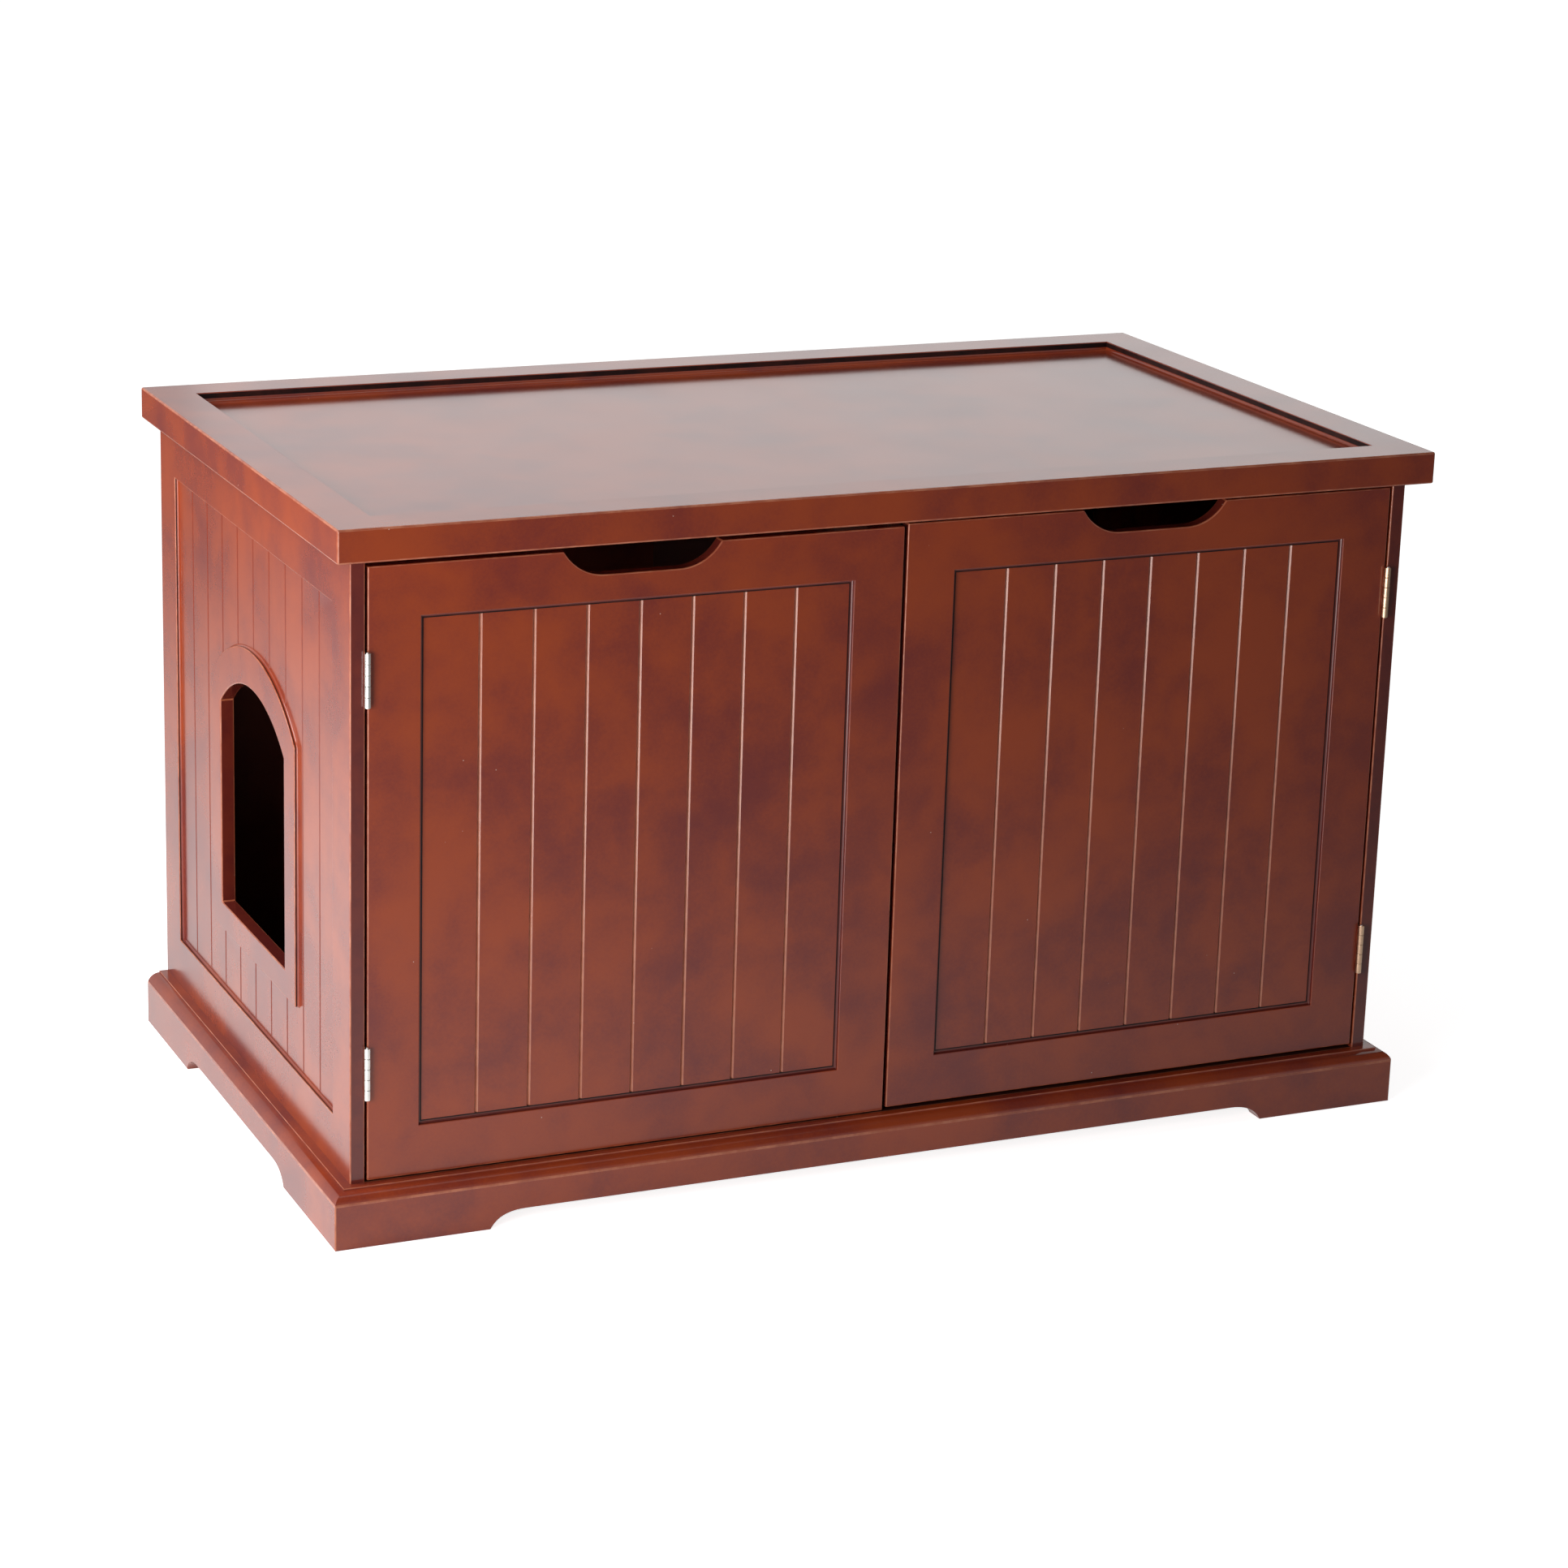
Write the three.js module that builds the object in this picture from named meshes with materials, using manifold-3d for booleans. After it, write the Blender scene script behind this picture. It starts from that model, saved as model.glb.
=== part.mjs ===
// Cat litter box cabinet: a low bench of painted board with two inset doors, an arched
// cat entry in its left side, a recessed lid and a moulded plinth on bracket feet.
// Millimetres, +Z up. The origin is on the floor under the middle of the bounding box.
// +X is to the right of someone facing the doors, and the doors face -Y.

import * as THREE from 'three';
import { mergeVertices } from 'three/addons/utils/BufferGeometryUtils.js';
import Module from 'manifold-3d';

const wasm = await Module();
wasm.setup();

// ---------------------------------------------------------------- driving dimensions

const LEFT = -1;
const RIGHT = 1;

const HEIGHT = 574;              // floor to the rim of the lid
const LID_WIDTH = 948;
const LID_DEPTH = 541;
const RIM_HEIGHT = 26.5;         // edge of the lid, seen from the front
const RIM_WIDTH = 38;            // flat top of the rim
const RIM_COVE = 3;              // radius at the foot of the rim's inner wall
const LID_RECESS = 8;            // rim down to the lid's floor

const BODY_WIDTH = 917;          // over the two side panels
const BODY_FRONT = -252.5;       // front edges of the side panels, and the doors' faces
const BODY_BACK = 268.5;
const BOARD = 12;                // side panels, doors and floor
const BACK_BOARD = 9;            // back panel and divider
const SIDE_FOOT = 16;            // side and back panels stop this far above the floor

const PLINTH_HEIGHT = 47;
const PLINTH_STEP = 1.5;         // fillet between the ledge and the ovolo
const PLINTH_FACE = 37.5;        // top of the plain vertical face
const OVOLO_WIDTH = 10.5;
const OVOLO_SAG = 1.6;           // how far the ovolo stands proud of its chord
const MOULDING = 18;             // thickness of the plinth moulding
const FOOT_WIDTH = 128;          // bracket feet on the front
const SIDE_GAP_FRONT = -136;     // ends of the gap between the feet, on the sides
const SIDE_GAP_BACK = 144;
const GAP_RISE = 14;             // height of the raised edge between the feet
const GAP_CURVE = 30;            // length of the curve at each end of the gap
const GAP_STEEP = [4, 7];        // where the curve leaves the foot: along, then up
const GAP_SHALLOW = 11;          // where it starts to flatten
const GLUE_BLOCK = 60;           // legs of the corner glue blocks
const GLUE_BLOCK_NOSE = 10;
const GLUE_BLOCK_HEIGHT = 35;

const DOOR_GAP = 2;              // door edge to side panel, filled by the hinge leaves
const MEETING_GAP = 3;           // between the two doors
const DOOR_HEIGHT = 492;
const RIGHT_DOOR_FOOT = 50;
const LEFT_DOOR_FOOT = 48;       // the left door hangs a little lower
const DOOR_STILE = 41.5;         // plain border beside the door's field
const DOOR_RAIL = 40;            // plain border above and below it
const GROOVE_PITCH = 43.6;       // width of one plank
const GROOVE_WIDTH = 3;
const GROOVE_DEPTH = 1.5;
const FIELD_DEPTH = 3.5;
const FIELD_COVE = 2.5;
const DOOR_GROOVES = 7;
const SCOOP_FLAT = 61;           // flat bottom of the finger scoop
const SCOOP_RADIUS = 40;
const SCOOP_ANGLE = Math.PI / 3; // its ends rise through this much of a circle

const SIDE_STILE = 43;
const SIDE_FIELD_FOOT = 88.5;
const SIDE_FIELD_TOP = 504.5;
const SIDE_GROOVES = 9;

const ENTRY_MIDDLE = 5;          // cat entry, measured along Y
const ENTRY_HALF = 88.5;
const ENTRY_SILL = 167;
const ENTRY_RADIUS = 135;
const ENTRY_CENTRE = 242;        // height of the arch's centre
const ISLAND_HALF = 115.5;       // raised plate round the entry
const ISLAND_SILL = 145;
const ISLAND_RADIUS = 165;

const DIVIDER_PASSAGE_MIDDLE = 120;
const DIVIDER_PASSAGE_DROP = 50; // the passage sits this much lower than the entry
const CHANNEL_WALL = 1.5;
const CHANNEL_HEIGHT = 8;
const CHANNEL_PLAY = 0.3;
const CHANNEL_LENGTH = 480;
const CHANNEL_FRONT = -232;

const CLEAT = 15;
const CLEAT_LENGTH = 460;
const CLEAT_FRONT = -210;

const HINGE_LENGTH = 43;
const HINGE_HEIGHTS = { upper: 453, lower: 137.75 };
const HINGE_PROUD = 3;           // pin axis in front of the doors' faces
const LEAF = 0.9;
const LEAF_REACH = 10;           // leaf behind the door's face
const KNUCKLES = 5;
const KNUCKLE_RADIUS = 2.6;
const KNUCKLE_GAP = 0.3;
const PIN_RADIUS = 1.15;
const PIN_CLEARANCE = 0.1;
const PIN_END = 0.4;

const SCREW_HEAD = 2.2;
const SCREW_SHANK = 1.1;
const SCREW_LENGTH = 10.5;
const SCREW_POINT = 1.5;
const SCREW_CROSS = 2.8;         // length of the cross recess
const SCREW_CROSS_WIDTH = 0.5;
const SCREW_CROSS_DEPTH = 0.5;
const HINGE_SCREW_SPREAD = 13;   // each screw above or below the hinge's middle

const CATCH_OFFSET = 42;         // catch's middle, out from the cabinet's middle
const CATCH_WIDTH = 28;
const CATCH_DEPTH = 16;
const CATCH_HEIGHT = 20;
const CATCH_FLANGE = 44;
const CATCH_FLANGE_HEIGHT = 2.5;
const CATCH_HOLE = 1.6;
const MAGNET = { width: 20, depth: 5, height: 9 };
const MAGNET_SHOWS = 0.4;
const STRIKE = { width: 30, thickness: 1.2, height: 12 };
const STRIKE_TOP = 539;
const CATCH_AIR = 0.3;           // magnet to strike plate, with the door shut

const GLUE_LINE = 0.1;           // hair gap at mitres
const FIT = 0.3;                 // gap where a piece is let into another
const ROUND = 20;                // sides of small round parts
const COVE_STEPS = 4;
const ARC_STEPS = 18;
const OVOLO_STEPS = 5;

// ---------------------------------------------------------------- worked out from them

const LID_FOOT = HEIGHT - RIM_HEIGHT;
const LID_FLOOR = HEIGHT - LID_RECESS;
const SIDE_OUTER = BODY_WIDTH / 2;
const SIDE_INNER = SIDE_OUTER - BOARD;
const DOOR_OUTER = SIDE_INNER - DOOR_GAP;
const DOOR_INNER = MEETING_GAP / 2;
const DOOR_BACK = BODY_FRONT + BOARD;
const BACK_INNER = BODY_BACK - BACK_BOARD;
const PLINTH_OUTER = SIDE_OUTER + MOULDING;
const PLINTH_FRONT = BODY_FRONT - MOULDING;
const SCOOP_RUN = SCOOP_RADIUS * Math.sin(SCOOP_ANGLE);
const SCOOP_DEPTH = SCOOP_RADIUS * (1 - Math.cos(SCOOP_ANGLE));
const AXIS_X = (SIDE_INNER + DOOR_OUTER) / 2;
const AXIS_Y = BODY_FRONT - HINGE_PROUD;

// ---------------------------------------------------------------- finishes

const finishes = {
  stained_board: { color: 0x7c3526, roughness: 0.34, metalness: 0 },
  bare_board: { color: 0x6b3324, roughness: 0.6, metalness: 0 },
  bare_wood: { color: 0xb98d5c, roughness: 0.75, metalness: 0 },
  nickel: { color: 0xc9c6bd, roughness: 0.28, metalness: 1 },
  steel: { color: 0x9b9a96, roughness: 0.4, metalness: 1 },
  plastic: { color: 0x4a2c20, roughness: 0.5, metalness: 0 },
  magnet: { color: 0x2c2b2b, roughness: 0.55, metalness: 0.6 },
};

const cabinet = new THREE.Group();

function addPiece(name, finish, geometry) {
  const mesh = new THREE.Mesh(geometry, new THREE.MeshStandardMaterial(finishes[finish]));
  mesh.name = name;
  cabinet.add(mesh);
}

// ---------------------------------------------------------------- shapes and solids

/** A box between two corners, given as a pair of ends along each axis. */
function block([x0, x1], [y0, y1], [z0, z1]) {
  const geometry = new THREE.BoxGeometry(Math.abs(x1 - x0), Math.abs(y1 - y0), Math.abs(z1 - z0));
  geometry.translate((x0 + x1) / 2, (y0 + y1) / 2, (z0 + z1) / 2);
  return geometry;
}

// Each basis takes a flat shape's first and second coordinates to two of the object's
// axes, and the direction of extrusion to the third.
const alongX = new THREE.Matrix4().set(0, 0, 1, 0, 1, 0, 0, 0, 0, 1, 0, 0, 0, 0, 0, 1);
const alongY = new THREE.Matrix4().set(1, 0, 0, 0, 0, 0, -1, 0, 0, 1, 0, 0, 0, 0, 0, 1);

/** Extrudes a (y, z) shape from x = low to x = high. A cove rounds both ends inwards. */
function extrudeX(shape, low, high, cove = 0) {
  return extrude(shape, high - low, cove).applyMatrix4(alongX).translate(low, 0, 0);
}

/** Extrudes an (x, z) shape from y = low to y = high. */
function extrudeY(shape, low, high, cove = 0) {
  return extrude(shape, high - low, cove).applyMatrix4(alongY).translate(0, high, 0);
}

/** Extrudes an (x, y) shape from z = low to z = high. */
function extrudeZ(shape, low, high) {
  return extrude(shape, high - low, 0).translate(0, 0, low);
}

function extrude(shape, thickness, cove) {
  const geometry = new THREE.ExtrudeGeometry(shape, {
    depth: thickness - 2 * cove,
    bevelEnabled: cove > 0,
    bevelThickness: cove,
    bevelSize: cove,
    bevelOffset: -cove,
    bevelSegments: COVE_STEPS,
    curveSegments: ARC_STEPS,
  });
  return geometry.translate(0, 0, cove);
}

/** A closed shape through the points, in order. */
function outline(points) {
  return new THREE.Shape(points.map(([u, v]) => new THREE.Vector2(u, v)));
}

function rectangle(u0, u1, v0, v1) {
  return outline([[u0, v0], [u1, v0], [u1, v1], [u0, v1]]);
}

function toSolid(geometry) {
  const bare = geometry.clone();
  bare.deleteAttribute('normal');
  bare.deleteAttribute('uv');
  const merged = mergeVertices(bare, 1e-4);
  return new wasm.Manifold(new wasm.Mesh({
    numProp: 3,
    vertProperties: new Float32Array(merged.attributes.position.array),
    triVerts: new Uint32Array(merged.index.array),
  }));
}

function toGeometry(solid) {
  const mesh = solid.getMesh();
  const geometry = new THREE.BufferGeometry();
  geometry.setAttribute('position', new THREE.BufferAttribute(mesh.vertProperties, 3));
  geometry.setIndex(new THREE.BufferAttribute(mesh.triVerts, 1));
  geometry.computeVertexNormals();
  return geometry;
}

/** The base geometry with every cutter taken out of it. */
function cut(base, cutters) {
  const solid = cutters.reduce((rest, cutter) => rest.subtract(toSolid(cutter)), toSolid(base));
  return toGeometry(solid);
}

/** A round bar along X, between the two ends. */
function barX(radius, [low, high], y, z) {
  const geometry = new THREE.CylinderGeometry(radius, radius, Math.abs(high - low), ROUND);
  return geometry.rotateZ(Math.PI / 2).translate((low + high) / 2, y, z);
}

/** A round bar along Y. */
function barY(radius, x, [low, high], z) {
  const geometry = new THREE.CylinderGeometry(radius, radius, high - low, ROUND);
  return geometry.translate(x, (low + high) / 2, z);
}

/** A round bar along Z. */
function barZ(radius, x, y, [low, high]) {
  const geometry = new THREE.CylinderGeometry(radius, radius, high - low, ROUND);
  return geometry.rotateX(Math.PI / 2).translate(x, y, (low + high) / 2);
}

/** An arched opening's outline: straight legs and one shallow arc. */
function archShape(middle, half, sill, radius, centre) {
  const lean = Math.asin(half / radius);
  const shape = new THREE.Shape();
  shape.moveTo(middle - half, sill);
  shape.lineTo(middle + half, sill);
  shape.absarc(middle, centre, radius, Math.PI / 2 - lean, Math.PI / 2 + lean, false);
  shape.closePath();
  return shape;
}

/**
 * Cutters for vertical V-grooves in a field's floor, in plan (x, y). The floor is at
 * "floor" along the depth direction and "inward" is +1 or -1, away from the face.
 */
function grooveShape(middle, floor, face, inward, depthIsX) {
  const half = GROOVE_WIDTH / 2;
  const open = face - inward;
  const points = [
    [middle - half, open],
    [middle + half, open],
    [middle + half, floor],
    [middle, floor + inward * GROOVE_DEPTH],
    [middle - half, floor],
  ];
  return outline(depthIsX ? points.map(([u, v]) => [v, u]) : points);
}

function spread(count, pitch, middle) {
  return Array.from({ length: count }, (_, i) => middle + (i - (count - 1) / 2) * pitch);
}

// ---------------------------------------------------------------- lid

/**
 * A mitred length of moulding. The profile's points are (distance in from the outer
 * face, height), and each end is sheared by that distance to make its mitre.
 */
function mitredRail(profile, length, mitres) {
  const geometry = new THREE.ExtrudeGeometry(outline(profile), { depth: 1, bevelEnabled: false });
  const position = geometry.attributes.position;
  for (let i = 0; i < position.count; i += 1) {
    const inset = position.getX(i);
    const far = position.getZ(i) > 0.5;
    const mitre = far ? mitres[1] : mitres[0];
    const shift = mitre ? inset + GLUE_LINE / 2 : 0;
    position.setZ(i, far ? length - shift : shift);
  }
  return geometry;
}

/** Turns a rail so that its length runs the given way and its outer face is outermost. */
function placeRail(geometry, along, outward, corner) {
  const up = new THREE.Vector3(0, 0, 1);
  const basis = new THREE.Matrix4().makeBasis(outward.clone().negate(), up, along);
  return geometry.applyMatrix4(basis).translate(...corner);
}

const rimCove = Array.from({ length: COVE_STEPS + 1 }, (_, i) => {
  const angle = (1 - i / COVE_STEPS) * (Math.PI / 2);
  const inset = RIM_WIDTH + RIM_COVE * (1 - Math.cos(angle));
  return [inset, LID_FLOOR + RIM_COVE * (1 - Math.sin(angle))];
});
const rimProfile = [
  [0, LID_FOOT],
  [RIM_WIDTH + RIM_COVE, LID_FOOT],
  ...rimCove,
  [RIM_WIDTH, HEIGHT],
  [0, HEIGHT],
];

const toRight = new THREE.Vector3(1, 0, 0);
const toLeft = new THREE.Vector3(-1, 0, 0);
const toBack = new THREE.Vector3(0, 1, 0);
const toFront = new THREE.Vector3(0, -1, 0);
const bothEnds = [true, true];

function addLid() {
  const x = LID_WIDTH / 2;
  const y = LID_DEPTH / 2;
  const sides = [
    ['lid_front_rail', LID_WIDTH, toLeft, toFront, [x, -y, 0]],
    ['lid_right_rail', LID_DEPTH, toFront, toRight, [x, y, 0]],
    ['lid_back_rail', LID_WIDTH, toRight, toBack, [-x, y, 0]],
    ['lid_left_rail', LID_DEPTH, toBack, toLeft, [-x, -y, 0]],
  ];
  for (const [name, length, along, outward, corner] of sides) {
    const rail = mitredRail(rimProfile, length, bothEnds);
    addPiece(name, 'stained_board', fixWinding(placeRail(rail, along, outward, corner)));
  }
  const inset = RIM_WIDTH + RIM_COVE;
  addPiece('lid_panel', 'stained_board',
    block([-x + inset, x - inset], [-y + inset, y - inset], [LID_FOOT, LID_FLOOR]));
}

/** Turns a geometry's faces outwards if a mirrored placing has turned them in. */
function fixWinding(geometry) {
  const p = geometry.attributes.position;
  const [a, b, c] = [new THREE.Vector3(), new THREE.Vector3(), new THREE.Vector3()];
  let volume = 0;
  for (let i = 0; i < p.count; i += 3) {
    a.fromBufferAttribute(p, i);
    b.fromBufferAttribute(p, i + 1);
    c.fromBufferAttribute(p, i + 2);
    volume += a.dot(b.cross(c));
  }
  if (volume > 0) return geometry;
  for (let i = 0; i < p.count; i += 3) {
    a.fromBufferAttribute(p, i + 1);
    b.fromBufferAttribute(p, i + 2);
    p.setXYZ(i + 1, b.x, b.y, b.z);
    p.setXYZ(i + 2, a.x, a.y, a.z);
  }
  return geometry;
}

// ---------------------------------------------------------------- plinth

/** The ovolo: an arc from the foot of the ledge's fillet down to the vertical face. */
function ovoloPoints() {
  const top = [OVOLO_WIDTH, PLINTH_HEIGHT - PLINTH_STEP];
  const foot = [0, PLINTH_FACE];
  const length = Math.hypot(top[0] - foot[0], top[1] - foot[1]);
  const normal = [-(top[1] - foot[1]) / length, (top[0] - foot[0]) / length];
  return Array.from({ length: OVOLO_STEPS + 1 }, (_, i) => {
    const t = i / OVOLO_STEPS;
    const bulge = 4 * OVOLO_SAG * t * (1 - t);
    return [
      top[0] + (foot[0] - top[0]) * t + normal[0] * bulge,
      top[1] + (foot[1] - top[1]) * t + normal[1] * bulge,
    ];
  });
}

const mouldingProfile = [
  [0, 0],
  [MOULDING, 0],
  [MOULDING, PLINTH_HEIGHT],
  [OVOLO_WIDTH, PLINTH_HEIGHT],
  ...ovoloPoints(),
];

/** The gap between two bracket feet: a raised edge that curves down to each foot. */
function footGap(low, high) {
  const [along, up] = GAP_STEEP;
  const shape = new THREE.Shape();
  shape.moveTo(low, -1);
  shape.lineTo(low, 0);
  shape.bezierCurveTo(low + along, up, low + GAP_SHALLOW, GAP_RISE, low + GAP_CURVE, GAP_RISE);
  shape.lineTo(high - GAP_CURVE, GAP_RISE);
  shape.bezierCurveTo(high - GAP_SHALLOW, GAP_RISE, high - along, up, high, 0);
  shape.lineTo(high, -1);
  shape.closePath();
  return shape;
}

function addPlinth() {
  const front = placeRail(mitredRail(mouldingProfile, 2 * PLINTH_OUTER, bothEnds),
    toLeft, toFront, [PLINTH_OUTER, PLINTH_FRONT, 0]);
  const reach = PLINTH_OUTER - FOOT_WIDTH;
  addPiece('plinth_front', 'stained_board',
    cut(fixWinding(front), [extrudeY(footGap(-reach, reach), PLINTH_FRONT - 1, BODY_FRONT + 1)]));

  const sideLength = BODY_BACK - PLINTH_FRONT;
  const gap = footGap(SIDE_GAP_FRONT, SIDE_GAP_BACK);
  const left = placeRail(mitredRail(mouldingProfile, sideLength, [true, false]),
    toBack, toLeft, [-PLINTH_OUTER, PLINTH_FRONT, 0]);
  addPiece('plinth_left', 'stained_board',
    cut(fixWinding(left), [extrudeX(gap, -PLINTH_OUTER - 1, -SIDE_OUTER + 1)]));
  const right = placeRail(mitredRail(mouldingProfile, sideLength, [false, true]),
    toFront, toRight, [PLINTH_OUTER, BODY_BACK, 0]);
  addPiece('plinth_right', 'stained_board',
    cut(fixWinding(right), [extrudeX(gap, SIDE_OUTER - 1, PLINTH_OUTER + 1)]));

  addPiece('front_base_rail', 'bare_board',
    block([-SIDE_INNER, SIDE_INNER], [BODY_FRONT, DOOR_BACK], [SIDE_FOOT, GLUE_BLOCK_HEIGHT]));
  for (const [sideName, side] of [['left', LEFT], ['right', RIGHT]]) {
    addPiece(`glue_block_front_${sideName}`, 'bare_wood', glueBlock(side, DOOR_BACK, 1));
    addPiece(`glue_block_back_${sideName}`, 'bare_wood', glueBlock(side, BACK_INNER, -1));
  }
}

/** A triangular block in the corner between a side panel and the board across it. */
function glueBlock(side, boardFace, inward) {
  const x = side * SIDE_INNER;
  const shape = outline([
    [x, boardFace],
    [x - side * GLUE_BLOCK, boardFace],
    [x - side * GLUE_BLOCK, boardFace + inward * GLUE_BLOCK_NOSE],
    [x - side * GLUE_BLOCK_NOSE, boardFace + inward * GLUE_BLOCK],
    [x, boardFace + inward * GLUE_BLOCK],
  ]);
  return extrudeZ(shape, 0, GLUE_BLOCK_HEIGHT);
}

// ---------------------------------------------------------------- carcass

/** Holes in a side panel or a door edge for the hinge screws, on one side. */
function hingeScrewHoles(side, from, inward) {
  const reach = from + inward * (SCREW_LENGTH - LEAF + FIT);
  return hingeScrewPlaces().map(([y, z]) => (
    barX(SCREW_SHANK + PIN_CLEARANCE, [side * (from - inward), side * reach], y, z)));
}

function hingeScrewPlaces() {
  const y = BODY_FRONT + LEAF_REACH / 2;
  return Object.values(HINGE_HEIGHTS).flatMap((middle) => (
    [middle + HINGE_SCREW_SPREAD, middle - HINGE_SCREW_SPREAD].map((z) => [y, z])));
}

/** A side panel: plain frame, sunk field with V-grooves, and the entry if it has one. */
function sidePanel(side, hasEntry) {
  const board = block([side * SIDE_INNER, side * SIDE_OUTER], [BODY_FRONT, BODY_BACK],
    [SIDE_FOOT, LID_FOOT]);
  const field = rectangle(BODY_FRONT + SIDE_STILE, BODY_BACK - SIDE_STILE,
    SIDE_FIELD_FOOT, SIDE_FIELD_TOP);
  const island = archShape(ENTRY_MIDDLE, ISLAND_HALF, ISLAND_SILL, ISLAND_RADIUS, ENTRY_CENTRE);
  if (hasEntry) field.holes.push(island);

  const floor = side * (SIDE_OUTER - FIELD_DEPTH);
  const outside = side * (SIDE_OUTER + FIELD_COVE + 1);
  const [low, high] = side === LEFT ? [outside, floor] : [floor, outside];
  let grooves = spread(SIDE_GROOVES, GROOVE_PITCH, (BODY_FRONT + BODY_BACK) / 2)
    .map((y) => grooveShape(y, floor, side * SIDE_OUTER, -side, true))
    .map((shape) => toSolid(extrudeZ(shape, SIDE_FIELD_FOOT, SIDE_FIELD_TOP)));
  if (hasEntry) {
    const plate = toSolid(extrudeX(island, -SIDE_OUTER - 2, -SIDE_INNER));
    grooves = grooves.map((groove) => groove.subtract(plate));
  }

  const cutters = [
    toSolid(extrudeX(field, low, high, FIELD_COVE)),
    ...grooves,
    ...hingeScrewHoles(side, SIDE_INNER, 1).map(toSolid),
  ];
  if (hasEntry) {
    const entry = archShape(ENTRY_MIDDLE, ENTRY_HALF, ENTRY_SILL, ENTRY_RADIUS, ENTRY_CENTRE);
    cutters.push(toSolid(extrudeX(entry, -SIDE_OUTER - 1, -SIDE_INNER + 1)));
  }
  return toGeometry(cutters.reduce((rest, cutter) => rest.subtract(cutter), toSolid(board)));
}

function addCarcass() {
  addPiece('left_side_panel', 'stained_board', sidePanel(LEFT, true));
  addPiece('right_side_panel', 'stained_board', sidePanel(RIGHT, false));
  addPiece('back_panel', 'bare_board',
    block([-SIDE_INNER, SIDE_INNER], [BACK_INNER, BODY_BACK], [SIDE_FOOT, LID_FOOT]));
  addPiece('floor_panel', 'stained_board',
    block([-SIDE_INNER, SIDE_INNER], [BODY_FRONT, BACK_INNER], [GLUE_BLOCK_HEIGHT, PLINTH_HEIGHT]));
  for (const [sideName, side] of [['left', LEFT], ['right', RIGHT]]) {
    addPiece(`lid_cleat_${sideName}`, 'bare_wood',
      block([side * SIDE_INNER, side * (SIDE_INNER - CLEAT)],
        [CLEAT_FRONT, CLEAT_FRONT + CLEAT_LENGTH], [LID_FOOT - CLEAT, LID_FOOT]));
  }
}

/** The divider slides in from the front between two U-shaped channels. */
function addDivider() {
  const half = BACK_BOARD / 2;
  const outer = half + CHANNEL_PLAY + CHANNEL_WALL;
  const channelBack = CHANNEL_FRONT + CHANNEL_LENGTH;
  const section = (base, up) => outline([
    [-outer, base],
    [outer, base],
    [outer, base + up * CHANNEL_HEIGHT],
    [outer - CHANNEL_WALL, base + up * CHANNEL_HEIGHT],
    [outer - CHANNEL_WALL, base + up * CHANNEL_WALL],
    [CHANNEL_WALL - outer, base + up * CHANNEL_WALL],
    [CHANNEL_WALL - outer, base + up * CHANNEL_HEIGHT],
    [-outer, base + up * CHANNEL_HEIGHT],
  ]);
  addPiece('divider_floor_channel', 'plastic',
    extrudeY(section(PLINTH_HEIGHT, 1), CHANNEL_FRONT, channelBack));
  addPiece('divider_lid_channel', 'plastic',
    extrudeY(section(LID_FOOT, -1), CHANNEL_FRONT, channelBack));

  const rise = CHANNEL_WALL + CHANNEL_PLAY;
  const board = block([-half, half], [CHANNEL_FRONT, BACK_INNER - FIT],
    [PLINTH_HEIGHT + rise, LID_FOOT - rise]);
  const passage = archShape(DIVIDER_PASSAGE_MIDDLE, ENTRY_HALF, ENTRY_SILL - DIVIDER_PASSAGE_DROP,
    ENTRY_RADIUS, ENTRY_CENTRE - DIVIDER_PASSAGE_DROP);
  addPiece('divider_panel', 'stained_board', cut(board, [extrudeX(passage, -half - 1, half + 1)]));
}

// ---------------------------------------------------------------- doors

/** A door's outline in (x, z), with the finger scoop in the middle of its top edge. */
function doorShape(x0, x1, foot) {
  const top = foot + DOOR_HEIGHT;
  const middle = (x0 + x1) / 2;
  const centre = top - SCOOP_DEPTH + SCOOP_RADIUS;
  const flat = SCOOP_FLAT / 2;
  const down = -Math.PI / 2;
  const shape = new THREE.Shape();
  shape.moveTo(x0, foot);
  shape.lineTo(x1, foot);
  shape.lineTo(x1, top);
  shape.lineTo(middle + flat + SCOOP_RUN, top);
  shape.absarc(middle + flat, centre, SCOOP_RADIUS, down + SCOOP_ANGLE, down, true);
  shape.absarc(middle - flat, centre, SCOOP_RADIUS, down, down - SCOOP_ANGLE, true);
  shape.lineTo(x0, top);
  shape.closePath();
  return shape;
}

function door(side, foot) {
  const [x0, x1] = [side * DOOR_OUTER, side * DOOR_INNER].sort((a, b) => a - b);
  const [z0, z1] = [foot + DOOR_RAIL, foot + DOOR_HEIGHT - DOOR_RAIL];
  const floor = BODY_FRONT + FIELD_DEPTH;
  const board = extrudeY(doorShape(x0, x1, foot), BODY_FRONT, DOOR_BACK);
  const field = extrudeY(rectangle(x0 + DOOR_STILE, x1 - DOOR_STILE, z0, z1),
    BODY_FRONT - FIELD_COVE - 1, floor, FIELD_COVE);
  const grooves = spread(DOOR_GROOVES, GROOVE_PITCH, (x0 + x1) / 2).map((x) => (
    extrudeZ(grooveShape(x, floor, BODY_FRONT, 1, false), z0, z1)));
  const strikeHole = barY(SCREW_SHANK + PIN_CLEARANCE, side * CATCH_OFFSET,
    [DOOR_BACK - SCREW_LENGTH + STRIKE.thickness - FIT, DOOR_BACK + 1], STRIKE_TOP - STRIKE.height / 2);
  return cut(board, [field, ...grooves, ...hingeScrewHoles(side, DOOR_OUTER, -1), strikeHole]);
}

// ---------------------------------------------------------------- ironmongery

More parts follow.
